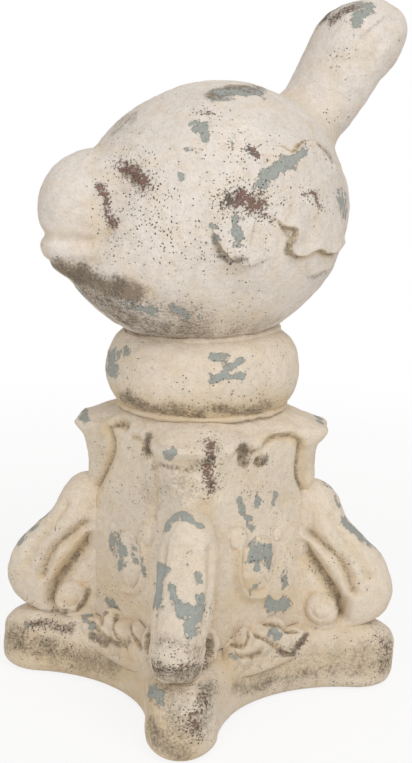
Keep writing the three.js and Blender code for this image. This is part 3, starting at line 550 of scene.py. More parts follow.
def cast_paint(name, coat, sparse_specks, blue_share):
    """Cast fibre cement with layers of chalky paint, rubbed back by hand: a matt cream coat, mottled where
    it is thin, yellowed paint and painted shade in the hollows, flakes that show the grey-blue coat under it,
    pits with red-brown primer, dirt that has settled underneath with painted shade under overhangs, in
    grooves and on shaded sides, and a sandy grain that catches the light."""
    colours = bpy.context.scene.bird_colours
    material = bpy.data.materials.new(name)
    tree = empty_tree(material)
    add = partial(add_node, tree)
    smooth = {"interpolation_type": "SMOOTHSTEP"}
    colour = {"data_type": "RGBA"}
    times, times_add = {"operation": "MULTIPLY"}, {"operation": "MULTIPLY_ADD"}
    minus, most = {"operation": "SUBTRACT"}, {"operation": "MAXIMUM"}
    place = add("TexCoord").node.outputs["Object"]
    cover = {kind: add("Attribute", attribute_name=kind).node.outputs["Fac"] for kind in WEAR_AND_SHADE}
    noise = {}
    for kind, (size, detail, rough, shift) in PAINT_NOISES.items():
        at = add("Mapping", Vector=place, Location=(shift, -shift, 0.7 * shift))
        noise[kind] = add("TexNoise", Vector=at, Scale=1 / (size * METRE), Detail=detail, Roughness=rough)

    # Coat: broad drifts of tone, cloudy mottling, brush strokes and a fine sandy fleck
    drift = add("MapRange", noise["drift"], 0.35, 0.65, **smooth)
    surface = add("Mix", drift, rgba(coat), rgba(coat, 0.92), **colour)
    for kind, low, high, share, tone in [
        ("cloud", 0.42, 0.72, 0.26, rgba(colours.warm, 1.08)),
        ("brushed", 0.4, 0.66, 0.12, rgba(colours.grime, 1.3)),
        ("fleck", 0.5, 0.7, 0.14, rgba(colours.grime, 1.1)),
    ]:
        seen = add("MapRange", noise[kind], low, high, 0.0, share, **smooth)
        surface = add("Mix", seen, surface, tone, **colour)

    # Yellowed paint and painted shade in the hollows, and dirt and painted shade: a grainy stain
    yellowing_and_shade = add("Math", noise["yellowing_and_shade"], 0.7, 0.35, **times_add)
    yellowing_and_shade = add("Math", cover["warm"], yellowing_and_shade, use_clamp=True, **times)
    surface = add("Mix", yellowing_and_shade, surface, rgba(colours.warm), **colour)
    mottle = add("Math", noise["stain_and_shade"], 1.1, add("Math", noise["stain_and_shade_grain"], 2.3, **times), **times_add)
    stain_and_shade = add("Math", cover["grime"], 1.15, add("Math", mottle, 1.7, **minus), **times_add)
    stain_and_shade = add("MapRange", stain_and_shade, 0.05, 1.1, **smooth)
    stain_and_shade = add("Math", stain_and_shade, add("MapRange", cover["grime"], 0.05, 0.5, **smooth), **times)
    dirt_and_shade = add("MapRange", noise["dirt_and_shade_tone"], 0.4, 0.62, **smooth)
    dirt_and_shade = add("Mix", dirt_and_shade, rgba(colours.grime), rgba(colours.grime, 1.5), **colour)
    surface = add("Mix", stain_and_shade, surface, dirt_and_shade, **colour)

    # Flakes down to the blue coat, with ragged edges
    torn = add("Math", noise["tear"], 3.6, add("Math", cover["blue"], 1.8, **minus), **times_add)
    torn = add("MapRange", torn, 0.42, 0.52, **smooth)
    torn = add("Math", torn, add("MapRange", cover["blue"], 0.06, 0.2, **smooth), **times)
    stray = add("Math", noise["stray_place"], 0.55, noise["stray_edge"], **times_add)
    stray = add("MapRange", stray, 0.995 - blue_share, 1.02 - blue_share, **smooth)
    flake = add("Math", torn, stray, **most)
    blue = add("Mix", noise["blue_tone"], rgba(colours.blue, 0.72), rgba(colours.blue, 1.2), **colour)
    surface = add("Mix", flake, surface, blue, **colour)

    # Pits: round chips whose number follows the marks, run together where the marks are strongest
    wobble = add("TexNoise", Vector=place, Scale=1 / (2.5 * METRE), Detail=2.0).node.outputs["Color"]
    shifted = add("VectorMath", wobble, (PIT_WOBBLE * METRE,) * 3, place, **times_add)
    cells = add("TexVoronoi", Vector=shifted, Scale=1 / (PIT_CELL * METRE), Randomness=1.0)
    chance = add("SeparateColor", cells.node.outputs["Color"])
    crowd = add("Math", cover["specks"], 1.3, 0.012, **times_add)
    gathered = add("MapRange", noise["pit_crowd"], 0.5, 0.75, **smooth)
    crowd = add("Math", gathered, sparse_specks, crowd, **times_add)
    radius = add("Math", add("Math", crowd, chance, **minus), 3.0, **times)
    widest = add("Math", chance, 0.1, 0.22, **times_add)
    radius = add("Math", radius, widest, operation="MINIMUM")
    chewed = add("Math", noise["pit_edge"], 0.5, add("Math", cells, 0.25, **minus), **times_add)
    dots = add("MapRange", add("Math", radius, chewed, **minus), -0.03, 0.05, **smooth)
    dense = add("Math", cover["specks"], 2.0, operation="POWER")
    crust = add("Math", dense, 0.44, noise["crust"], **times_add)
    crust = add("MapRange", crust, 0.84, 0.92, **smooth)
    pit = add("Math", dots, crust, **most)
    rusty = add("MapRange", noise["rust"], 0.34, 0.5, **smooth)
    rusty = add("Math", add("MapRange", crust, 0.0, 0.6, **smooth), rusty, **times)
    tint = add("Mix", rusty, rgba(colours.dark), rgba(colours.rust), **colour)
    surface = add("Mix", add("Math", pit, 0.88, **times), surface, tint, **colour)

    # Relief: sandy grain, brush drag, and flakes and pits that lie lower than the coat
    relief = add("Math", noise["sand"], 0.8, add("Math", noise["brush_drag"], 1.3, **times), **times_add)
    relief = add("Math", flake, -0.55, relief, **times_add)
    relief = add("Math", pit, -0.7, relief, **times_add)
    bump = add("Bump", Height=relief, Strength=0.9, Distance=1.5 * METRE)
    rough = add("Math", flake, -0.12, 0.88, **times_add)
    shader = add("BsdfPrincipled", Normal=bump, Roughness=rough, IOR=1.5)
    tree.links.new(surface, shader.node.inputs["Base Color"])
    add("OutputMaterial", Surface=shader)
    return material


# The finish on each slot: its name, which colour its coat has, and how many stray pits and flakes it shows
FINISHES = {
    "bird_paint": ("bird_chalk_paint", "bird", 0.10, 0.0),
    "pedestal_paint": ("pedestal_chalk_paint", "stone", 0.07, 0.0),
    "ornament_paint": ("ornament_chalk_paint", "stone", 0.06, 0.01),
    "mortar": ("mortar", "stone", 0.05, 0.0),
}


def shared_material(slot):
    """Material of a slot, made on its first use."""
    finish, coat, *shares = FINISHES[slot]
    name = f"cast_cement_{finish}"
    coat = getattr(bpy.context.scene.bird_colours, coat)
    return bpy.data.materials.get(name) or cast_paint(name, coat, *shares)


# Bird


def ellipsoid_field(x, y, z, shape):
    """About the distance to an ellipsoid tilted in the XZ plane, negative inside."""
    cosine, sine = math.cos(shape["tilt"]), math.sin(shape["tilt"])
    along = (x - shape["x"]) * cosine + (z - shape["z"]) * sine
    across = (z - shape["z"]) * cosine - (x - shape["x"]) * sine
    a, b, c = shape["along"], shape["side"], shape["across"]
    level = np.sqrt((along / a) ** 2 + (y / b) ** 2 + (across / c) ** 2)
    slope = np.sqrt((along / a**2) ** 2 + (y / b**2) ** 2 + (across / c**2) ** 2)
    return level * (level - 1) / np.maximum(slope, 1e-9)


def taper_field(x, y, z, start, end):
    """Distance to a cone with a ball at each end."""
    dx, dz = end["x"] - start["x"], end["z"] - start["z"]
    t = np.clip(((x - start["x"]) * dx + (z - start["z"]) * dz) / (dx * dx + dz * dz), 0, 1)
    distance = np.sqrt((x - start["x"] - t * dx) ** 2 + y**2 + (z - start["z"] - t * dz) ** 2)
    return distance - (start["radius"] + (end["radius"] - start["radius"]) * t)


def bird_field(points):
    """Body, breast, beak and tail joined by smooth leasts, in the bird's own frame."""
    x, y, z = points[..., 0], points[..., 1], points[..., 2]
    trunk = soft_least(ellipsoid_field(x, y, z, BODY), ellipsoid_field(x, y, z, BREAST), BLENDS["breast"])
    flat = y / TAIL_WIDENING
    shaft = taper_field(x, flat, z, TAIL_ROOT, TAIL_END)
    tail = soft_least(shaft, ellipsoid_field(x, flat, z, TAIL_TIP), BLENDS["tip"])
    upper, lower = ellipsoid_field(x, y, z, UPPER_BEAK), ellipsoid_field(x, y, z, LOWER_BEAK)
    beak = soft_least(upper, lower, BLENDS["mouth"])
    return soft_least(soft_least(trunk, tail, BLENDS["tail"]), beak, BLENDS["beak"])


def leaving_points(origins, directions, reach=200.0):
    """Where rays from inside the bird leave it, by halving the span 24 times."""
    inside = np.zeros(origins.shape[:-1])
    outside = np.full(origins.shape[:-1], reach)
    for _ in range(24):
        middle = (inside + outside) / 2
        within = bird_field(origins + directions * middle[..., None]) < 0
        inside, outside = np.where(within, middle, inside), np.where(within, outside, middle)
    return origins + directions * inside[..., None]


def bird_outward(points):
    """Unit gradient of the bird's field."""
    steps = 0.5 * np.eye(3)
    slope = np.stack([bird_field(points + step) - bird_field(points - step) for step in steps], -1)
    return slope / np.linalg.norm(slope, axis=-1, keepdims=True)


# The spine inside the bird: how far it starts behind and under the upper beak's middle, where its fan of
# planes starts and pivots, the angle that the fan sweeps, how far its rays reach, and its rows
BEAK_SET_BACK = (9, 6)
FAN_START = 13
FAN_PIVOT_RISE = 87
FAN_ANGLE = math.radians(57)
SKIN_RAY = 210.0
SKIN_ROWS = {"beak": 76, "throat": 14, "fan": 128, "tail": 40, "tip": 46}


def bird_skin(columns):
    """Rings of rays that leave a spine from the beak to the tail: a half-turn cap at the beak, a short run,
    a fan of planes about a pivot above the back, a straight run up the tail and another cap."""
    beak = np.array([UPPER_BEAK["x"] - BEAK_SET_BACK[0], 0, UPPER_BEAK["z"] - BEAK_SET_BACK[1]])
    pivot = np.array([UPPER_BEAK["x"] + FAN_START, 0, BODY["z"] + BODY["across"] + FAN_PIVOT_RISE])
    fan_end = np.array([math.sin(FAN_ANGLE), 0, -math.cos(FAN_ANGLE)])
    start_depth = pivot[2] - beak[2]
    end_depth = (np.array([TAIL_ROOT["x"], 0, TAIL_ROOT["z"]]) - pivot) @ fan_end
    plane_start, plane_end = np.array([pivot[0], 0, beak[2]]), pivot + fan_end * end_depth
    tail = np.array([TAIL_END["x"], 0, TAIL_END["z"]])
    share = {part: np.arange(count) / count for part, count in SKIN_ROWS.items()}
    still = {part: np.zeros(count) for part, count in SKIN_ROWS.items()}
    lean = np.concatenate([still["beak"], still["throat"], FAN_ANGLE * share["fan"],
                           still["tail"] + FAN_ANGLE, still["tip"] + FAN_ANGLE])
    straight = sum(SKIN_ROWS[part] for part in ("throat", "fan", "tail"))
    opening = np.concatenate([np.pi * (1 - share["beak"] / 2), np.full(straight, np.pi / 2),
                              np.pi / 2 * (1 - share["tip"])])
    fan_lean = FAN_ANGLE * share["fan"]
    out = np.stack([np.sin(fan_lean), 0 * fan_lean, -np.cos(fan_lean)], -1)
    depth = start_depth + (end_depth - start_depth) * share["fan"] ** 2
    origin = np.vstack([
        np.tile(beak, (SKIN_ROWS["beak"], 1)),
        beak + (plane_start - beak) * share["throat"][:, None],
        pivot + out * depth[:, None],
        plane_end + (tail - plane_end) * share["tail"][:, None],
        np.tile(tail, (SKIN_ROWS["tip"], 1)),
    ])
    angle = np.linspace(0, 2 * np.pi, columns, endpoint=False)
    axis = np.stack([np.cos(lean), 0 * lean, np.sin(lean)], -1)[:, None]
    up = np.stack([-np.sin(lean), 0 * lean, np.cos(lean)], -1)[:, None]
    side = np.array([0, 1, 0])
    open_sine = np.sin(opening)[:, None, None]
    direction = axis * np.cos(opening)[:, None, None] + up * open_sine * np.cos(angle)[:, None]
    direction = direction + side * open_sine * np.sin(angle)[:, None]
    origins = np.broadcast_to(origin[:, None], direction.shape)
    return leaving_points(origins, direction, SKIN_RAY)


# Lines on the bird in its own frame, on the side of positive y; both sides carry them
MOUTH = [(-124, 0, 84.5), (-116, 18.7, 82.6), (-103, 29.2, 80.5), (-96.4, 35.2, 82.2), (-90, 42, 89.4)]
MOUTH_HALF_WIDTH = 4.2
EYE = (-75.3, 50.9, 123.6)
TAIL_GROOVE = [(141, 0, 247), (129, 0, 236), (119, 0, 222), (106, 0, 206)]
# Half width and height of the ridge round an eye, its dimple and the valley along the tail
EYE_RIDGE = (2.0, 1.3)
EYE_DIMPLE = (3.6, 1.6)
TAIL_VALLEY = (6, 1.8)
TAIL_VALLEY_START = (95, 110)
# Creases at the beak's root and the chin: depth, half width and line
CREASES = [
    (1.4, 5.5, [(-80, 0, 146), (-84, 10, 142), (-93, 20, 132), (-96, 28, 122), (-97, 33, 110),
                (-94, 38, 98)]),
    (2.0, 4.0, [(-119, 0, 64), (-117, 10, 65), (-109, 20.4, 66.5), (-99, 29, 68), (-88, 36, 70)]),
]


def bird_detail(points, sizes):
    """Rise of the skin at each point: the mouth's groove, the creases at the beak's root and the chin, a
    ridge and a dimple at each eye, a shallow valley along the tail, and the casting's unevenness."""
    mirrored = points * np.array([1, 0, 1]) + np.abs(points) * np.array([0, 1, 0])
    rise = -sizes.mouth_depth * ridge(line_distance(mirrored, MOUTH), MOUTH_HALF_WIDTH)
    for depth, half_width, line in CREASES:
        rise -= ridge(line_distance(mirrored, line), half_width, depth)
    eye = np.linalg.norm(mirrored - np.array(EYE), axis=-1)
    rise += ridge(eye - sizes.eye_radius, *EYE_RIDGE) - ridge(eye, *EYE_DIMPLE)
    valley = line_distance(points * np.array([1, 0, 1]), TAIL_GROOVE)
    rise -= ridge(valley, *TAIL_VALLEY) * smooth_step(*TAIL_VALLEY_START, points[..., 0])
    return rise + casting_noise(points, "bird")


BIRD_MARKS = {
    # The coat under the cream: crown, cheek, wing, tail and belly
    "blue": [
        (0.62, 6, (214, 96), (235, 93), (262, 91)), (0.8, 6, (197, 126), (206, 128), (205, 138)),
        (0.6, 3, (186, 149), (189, 149)), (0.6, 3.4, (179, 174), (182, 180)),
        (0.85, 8, (260, 182), (274, 171), (289, 162)), (0.8, 5, (289, 162), (303, 153)),
        (0.7, 6, (236, 219), (233, 230), (240, 243)), (0.55, 4, (211, 225), (214, 238)),
        (0.8, 7, (356, 22), (362, 14), (369, 8)), (0.6, 4, (340, 188), (345, 216)),
        (0.75, 5, (174, 307), (186, 318)), (0.65, 5, (128, 304), (154, 311)),
        (0.5, 4, (203, 241), (201, 247)),
    ],
    # Dense pits down to the primer, and fine ones scattered round them
    "specks": [
        (1.0, 25, (126, 169), (136, 174), (144, 182)),
        (1.0, 9, (97, 184), (107, 196), (109, 210), (113, 223)),
        (1.0, 25, (230, 199), (243, 197), (256, 203)), (0.9, 9, (260, 210), (270, 221)),
        (1.0, 8, (250, 148), (258, 154)), (0.85, 9, (198, 113), (214, 115)),
        (0.95, 7, (306, 193), (314, 196), (321, 208)), (0.75, 3, (108, 229), (121, 218)),
        (0.9, 9, (330, 20), (340, 12), (352, 9)), (0.7, 7, (330, 60), (340, 57), (352, 54)),
        (0.5, 20, (132, 174), (150, 186)), (0.6, 15, (100, 188), (112, 222), (120, 250)),
        (0.7, 34, (142, 202), (170, 230)), (0.34, 30, (180, 240), (230, 262)),
        (0.4, 14, (200, 150), (212, 172)), (0.6, 30, (238, 200), (266, 206)),
        (0.6, 18, (236, 152), (264, 160)), (0.32, 17, (280, 185), (322, 205)),
        (0.3, 9, (302, 146), (322, 148), (334, 168)), (0.5, 18, (212, 228), (230, 250)),
        (0.25, 12, (205, 118), (232, 128)), (0.3, 8, (326, 116), (334, 126)),
        (0.25, 30, (110, 310), (180, 322), (260, 318)), (0.62, 17, (64, 278), (92, 292), (130, 308)),
    ],
    # Dirt under the beak, dirt and painted shade under the belly, painted shade along the carved edges, and
    # rubbed patches
    "grime": [
        (0.95, 15, (56, 272), (84, 275), (106, 288), (134, 293)),
        (0.66, 20, (84, 292), (108, 306), (132, 318)), (0.56, 19, (118, 316), (160, 328), (204, 333)),
        (0.4, 12, (204, 332), (250, 330), (280, 322)), (0.45, 24, (128, 298), (160, 312), (200, 320)),
        (0.6, 12, (128, 172), (142, 182)), (0.6, 4, (213, 234), (221, 253), (231, 262), (250, 262)),
        (0.5, 3, (280, 226), (292, 234), (288, 252), (298, 260)), (0.45, 3, (310, 278), (328, 271)),
        (0.5, 3, (318, 145), (327, 151), (334, 164)), (0.45, 5, (112, 132), (124, 123), (134, 116)),
        (0.85, 6, (210, 95), (236, 90), (262, 88)), (0.6, 8, (330, 20), (344, 9), (358, 5)),
        (0.45, 14, (236, 200), (256, 204)), (0.35, 4, (382, 20), (372, 28), (361, 36)),
    ],
    "warm": [
        (0.45, 12, (92, 205), (100, 232), (84, 240)), (0.7, 9, (136, 282), (148, 290)),
        (0.45, 24, (190, 326), (250, 328)),
    ],
}


class BirdMaker(bpy.types.Operator):
    """Make the bird's body, with its beak and tail."""

    bl_idname = "garden_bird.bird"
    bl_label = "Bird"

    def execute(self, context):
        sizes = context.scene.bird_sizes
        skin = bird_skin(sizes.columns)
        skin = skin + grid_outward(skin) * bird_detail(skin, sizes)[..., None]
        points = turned(skin, sizes.turn) + np.array([0, 0, BIRD_FOOT])
        wear_and_shade = dressed(points, BIRD_MARKS, bird_mirrored, crease=12.0)
        add_piece("bird_cast", "bird_body", "bird_paint", points, wear_and_shade)
        return {"FINISHED"}


# Wings

WING_MIDDLE = np.array([24.0, 112.0])
WING_OUTLINE = [
    (-6, 150), (-22, 139), (-34, 121), (-41, 104), (-39, 88), (-30, 75), (-18, 67), (-4, 67), (10, 70),
    (24, 66), (36, 58), (46, 52), (60, 54), (74, 62), (82, 82), (84, 104), (79, 126), (68, 143), (52, 154),
    (34, 154), (14, 152),
]
WING_RADIUS = 45
WING_COLUMNS = 320
# Shares of the way from the wing's middle to its outline, and the ones that close it under the flank
WING_SPANS = np.concatenate([np.linspace(1, 0.9, 12), np.linspace(0.89, 0.02, 88)])
WING_UNDER = [-1, 60, 40, 12]
WING_SUNK = 3
# Carved edges in the bird's x and z. The surface to the left of a line stands higher by the height, falls
# back over the decay, and fades over a share of the line at each end.
WING_EDGES = [
    {"height": 6.0, "decay": 22, "fades": (0.32, 0.4),
     "line": [(-38, 100), (-34, 90), (-29.5, 82), (-22, 74.5), (-12.4, 70.7), (-1, 73), (8, 77)]},
    {"height": 4.6, "decay": 13, "fades": (0.24, 0.02),
     "line": [(-2, 106), (7, 101), (12, 96), (21.8, 93.1), (18.1, 82), (21, 77.5), (31, 75.4), (41, 79.5),
              (46, 79), (52, 76.5), (66, 76), (78, 82)]},
    {"height": 2.6, "decay": 9, "fades": (0.15, 0.3),
     "line": [(74, 124), (66, 134), (60, 144), (50.7, 150.5), (36.3, 150.4), (25, 143), (16, 147.6),
              (2, 148)]},
    {"height": 3.0, "decay": 12, "fades": (0.25, 0.15), "line": [(43, 57), (55.6, 62), (66.3, 64), (74, 68)]},
]
# Half width of the smooth step at a carved edge, of the painted shade under it, and how far that lies to the
# right
EDGE_HALF_STEP = 0.9
EDGE_SHADE = 1.9
EDGE_SHADE_SHIFT = 0.6
# The wing's skin at its outline, its rise over the first millimetres inside it, and where carving starts
WING_SKIN = -1.5
WING_SKIN_RISE = 1.8
WING_SKIN_WIDTH = 6
WING_CARVING_WIDTH = 2.5


def step_edge(plan, edge):
    """Rise and painted shade beside a carved edge. The rise is none on its right, and on its left the height
    times exp(-distance/decay), with a smooth step 1.8 mm wide between, faded at the line's ends."""
    path = curve_through(edge["line"], 56)
    nearest = np.full(plan.shape[:-1], np.inf)
    side, along = np.zeros(nearest.shape), np.zeros(nearest.shape)
    for i, (start, end) in enumerate(zip(path[:-1], path[1:])):
        run = end - start
        share = np.clip((plan - start) @ run / (run @ run), 0, 1)
        distance = np.linalg.norm(plan - start - share[..., None] * run, axis=-1)
        closer = distance < nearest
        nearest = np.where(closer, distance, nearest)
        turn = run[0] * (plan[..., 1] - start[1]) - run[1] * (plan[..., 0] - start[0])
        side = np.where(closer, np.sign(turn), side)
        along = np.where(closer, (i + share) / (len(path) - 1), along)
    signed = side * nearest
    fade = smooth_step(0, edge["fades"][0], along) * smooth_step(0, edge["fades"][1], 1 - along)
    decay = np.exp(-np.maximum(signed, 0) / edge["decay"])
    step = edge["height"] * fade * smooth_step(-EDGE_HALF_STEP, EDGE_HALF_STEP, signed) * decay
    return step, fade * ridge(signed + EDGE_SHADE_SHIFT, EDGE_SHADE)


def wing_rise(plan, span, sizes):
    """Rise off the flank and the painted shade on it: the sum of the carved edges over a skin that sinks
    under the flank at the outline."""
    inside = (1 - span) * WING_RADIUS
    steps, edge_shades = zip(*(step_edge(plan, edge) for edge in WING_EDGES))
    carved = sum(steps) * sizes.wing_relief / WING_RELIEF
    base = WING_SKIN + WING_SKIN_RISE * smooth_step(0, WING_SKIN_WIDTH, inside)
    return base + carved * smooth_step(0, WING_CARVING_WIDTH, inside), np.maximum.reduce(edge_shades)


class WingMaker(bpy.types.Operator):
    """Make the two wings in relief on the bird's flanks."""

    bl_idname = "garden_bird.wings"
    bl_label = "Wings"

    def execute(self, context):
        sizes = context.scene.bird_sizes
        outline = curve_through(WING_OUTLINE, WING_COLUMNS, closed=True)
        plan = WING_MIDDLE + (outline - WING_MIDDLE) * WING_SPANS[:, None, None]
        start = np.stack([plan[..., 0], 0 * plan[..., 0], plan[..., 1]], -1)
        rise, shade_and_dirt = wing_rise(plan, WING_SPANS[:, None] + 0 * plan[..., 0], sizes)
        shade_and_dirt = np.concatenate([np.zeros((len(WING_UNDER), len(outline))), shade_and_dirt])
        for name, side in (("wing_left", -1), ("wing_right", 1)):
            flank = leaving_points(start, np.broadcast_to([0.0, side, 0.0], start.shape))
            outward = bird_outward(flank)
            skin = flank + outward * bird_detail(flank, sizes)[..., None]
            under = (skin - outward * WING_SUNK)[WING_UNDER]
            rings = np.concatenate([under, skin + outward * rise[..., None]])
            points = turned(rings, sizes.turn) + np.array([0, 0, BIRD_FOOT])
            wear_and_shade = dressed(points, BIRD_MARKS, bird_mirrored, crease=4.0, shade_and_dirt=shade_and_dirt)
            add_piece(f"{name}_relief", name, "bird_paint", points, wear_and_shade)
        return {"FINISHED"}


# Neck ring and its mortar

BORE_RADIUS = 30
RING_RISE = 32
RING_WIDEST = 24
RING_FOOT_ANGLE = math.radians(55)
RING_CROWN_ANGLE = math.radians(74)
RING_SQUARENESS = 0.7
RING_ROUND = 14
# The sole starts this far inside the foot's edge
RING_FOOT_ROUND = 1.5
RING_COLUMNS = 360
RING_ROWS = {"dish": 16, "side": 110, "foot": 12, "bead": 20}
# Gap left under the belly
BELLY_GAP = 2
# Beads of mortar: reach, height over the belly's skin and over the bed's foot, and size
MORTAR_REACH = {"upper": 52, "lower": 59.5}
MORTAR_SEAT = {"upper": -1.2, "lower": 1.4}
MORTAR_SIZE = {"upper": 3.2, "lower": 3.0}
# Their section's width and height, and their dirt, as shares of their size and of the ring's dirt
MORTAR_SECTION = (1.5, 0.9)
MORTAR_GRIME = 0.4
# How their size varies: share, width in millimetres and seed
MORTAR_CRUMBS = [(0.4, 14, 11), (0.25, 5, 13)]
RING_MARKS = {
    "blue": [
        (0.8, 6, (112, 354), (112, 372)), (0.75, 5, (116, 354), (129, 350)),
        (0.8, 5, (212, 357), (224, 357), (225, 374)), (0.8, 4.5, (212, 377), (240, 375)),
        (0.75, 4.5, (226, 366), (240, 360)),
    ],
    "specks": [
        (0.4, 11, (128, 396), (195, 408), (268, 404)), (0.55, 4, (279, 346), (283, 356)),
        (0.18, 22, (140, 380), (270, 385)),
    ],
    "grime": [
        (0.66, 10, (122, 398), (150, 408), (200, 412)), (0.62, 8, (216, 410), (250, 410), (268, 404)),
    ],
    "warm": [
        (0.95, 12, (116, 398), (160, 410), (230, 412), (290, 402)),
    ],
}


def belly_height(plan, turn):
    """Height of the bird's underside over a point of the plan."""
    own = turned(plan, -turn)
    start = own * np.array([1, 1, 0]) + np.array([0, 0, BODY["z"]])
    down = np.broadcast_to([0.0, 0.0, -1.0], start.shape)
    return leaving_points(start, down)[..., 2] + BIRD_FOOT


class RingMaker(bpy.types.Operator):
    """Make the cushion ring under the bird, and the mortar above and below it."""

    bl_idname = "garden_bird.ring"
    bl_label = "Neck ring and mortar"

    def execute(self, context):
        sizes = context.scene.pedestal_sizes
        turn = context.scene.bird_sizes.turn
        angle = np.linspace(0, 2 * np.pi, RING_COLUMNS, endpoint=False)[None]
        land = sizes.ring_reach - sizes.ring_swell
        t = np.linspace(RING_CROWN_ANGLE, -RING_FOOT_ANGLE, RING_ROWS["side"])[:, None]
        radius = land + sizes.ring_swell * np.cos(t) ** RING_SQUARENESS
        low = RING_WIDEST * np.sin(t) / math.sin(RING_FOOT_ANGLE)
        height = RING_FOOT + RING_WIDEST + np.where(t > 0, RING_RISE * np.sin(t), low)
        side = polar(radius, angle, height)
        dish = polar(np.linspace(BORE_RADIUS, radius[0, 0], RING_ROWS["dish"])[:, None], angle, RING_FOOT)
        dish[..., 2] = belly_height(dish, turn) - BELLY_GAP
        under_belly = np.where(t > 0, belly_height(side, turn) - BELLY_GAP, np.inf)
        side[..., 2] = np.minimum(side[..., 2], under_belly)
        sole = np.linspace(radius[-1, 0] - RING_FOOT_ROUND, BORE_RADIUS, RING_ROWS["foot"])[:, None]
        foot = polar(sole, angle, RING_FOOT)
        rings = np.concatenate([dish[:-1], side, foot])
        outer = smooth_step(land, land + RING_ROUND, np.linalg.norm(rings[..., :2], axis=-1))
        relief = casting_noise(rings, "ring") * outer
        rings = rings + grid_outward(rings, True) * relief[..., None]
        wear_and_shade = dressed(rings, RING_MARKS, loop=True)
        add_piece("ring_cushion", "neck_ring", "pedestal_paint", rings, wear_and_shade, loop=True)
        self.bead("upper", lambda circle: belly_height(circle, turn) + MORTAR_SEAT["upper"])
        self.bead("lower", lambda circle: BED_FOOT + MORTAR_SEAT["lower"])
        return {"FINISHED"}

    def bead(self, which, seat):
        """A crumbly bead of mortar: a flattened tube along a circle, its size varied by noise. The seat
        gives the height of its middle."""
        angle = np.linspace(0, 2 * np.pi, RING_COLUMNS, endpoint=False)[None]
        section = np.linspace(0, 2 * np.pi, RING_ROWS["bead"], endpoint=False)[:, None]
        middle = polar(float(MORTAR_REACH[which]), angle, 0.0)
        middle[..., 2] = seat(middle)
        swell = np.ones(middle.shape[:-1])
        for share, pitch, seed in MORTAR_CRUMBS:
            swell = swell + share * lattice_noise(middle, pitch, seed)
        swell = MORTAR_SIZE[which] * swell
        wide, high = MORTAR_SECTION
        rings = middle + polar(swell * wide * np.cos(section), angle, swell * high * np.sin(section))
        wear_and_shade = dressed(rings, RING_MARKS, copy=None, loop=True)
        wear_and_shade["grime"] = MORTAR_GRIME * wear_and_shade["grime"]
        add_piece(f"mortar_{which}", f"mortar_bed_{which}", "mortar", rings, wear_and_shade, loop=True)


# Pedestal core


def from_corner(angle):
    """Angle to the nearest of the four corners."""
    quarter = np.pi / 2
    rest = np.mod(angle, quarter)
    return np.minimum(rest, quarter - rest)


def pedestal_reach(angle, height):
    """Distance of the core's side from the axis: a flat face that sweeps out towards the ears, met by the
    corner's own profile through a smooth least."""
    corner_angle = from_corner(angle)
    face_angle = np.pi / 4 - corner_angle
    sweep = read_profile(SWEEP_PROFILE, height) * (np.tan(face_angle) / math.tan(EAR_OFF_ANGLE)) ** 2
    face = (read_profile(FACE_PROFILE, height) + sweep) / np.cos(face_angle)
    corner = read_profile(CORNER_PROFILE, height) / np.cos(corner_angle)
    return soft_least(face, corner, CORNER_ROUND)


# Lines on a face, as the place along it and the height above the core's foot. The place runs from the
# front or back corner to the left or right corner. Two opposite faces carry each design.
FACE_DESIGNS = {
    "scrolled": {
        "side": 1,
        "raised": [
            (2.4, 4.5, [(-34, 150), (-27, 154), (-17, 151), (-10, 148), (-4, 147)]),
            (2.0, 5.0, [(-2, 148), (6, 154), (14, 156), (24, 156), (33, 150), (38, 143)]),
        ],
        "cut": [
            (1.0, 2.6, [(-30, 146), (-24, 148), (-17, 146), (-12, 143), (-7, 143)]),
            (1.15, 2.8, [(0, 146), (6, 150), (14, 152), (24, 151), (31, 147), (34, 140), (35, 130), (38, 117),
                         (46, 103), (52, 93), (50, 84)]),
        ],
        "pockets": [(1.5, 5.0, (-20, 140)), (1.2, 4.0, (-4, 135))],
    },
    "arched": {
        "side": -1,
        "raised": [
            (2.2, 4.5, [(27, 150), (22, 156), (13, 160), (4, 159), (-3, 154), (-10, 155), (-18, 151)]),
        ],
        "cut": [
            (1.15, 2.8, [(6, 156), (13, 157), (22, 152), (18, 146), (18, 136), (24, 125), (36, 109), (48, 94),
                         (51, 82)]),
            (0.7, 3.2, [(-31, 142), (-32, 128), (-29, 109), (-28, 94)]),
            (0.8, 2.6, [(-4, 150), (-12, 151), (-18, 148)]),
        ],
        "pockets": [(1.5, 5.5, (-22, 145))],
    },
}
PANEL_HALF_WIDTH = 44
# Heights where a panel's crown begins and is full, and where it ends and is still full
PANEL_FOOT = (14, 40)
PANEL_HEAD = (146, 130)
# Painted shade and dirt in a groove, as a share of its depth and width
GROOVE_SHADE_AND_DIRT = 0.8
# A face reaches a hair past the corners on both sides of its middle
FACE_REACH = np.pi / 4 + 0.001
PEDESTAL_COLUMNS = 440
PEDESTAL_ROWS = {"side": 168, "lid": 24}


def face_heading(name):
    """Angle of a face's middle."""
    return np.pi / 4 + FACES.index(name) * np.pi / 2


def face_design(name):
    """Opposite faces carry the same design."""
    return FACE_DESIGNS["scrolled" if FACES.index(name) % 2 else "arched"]


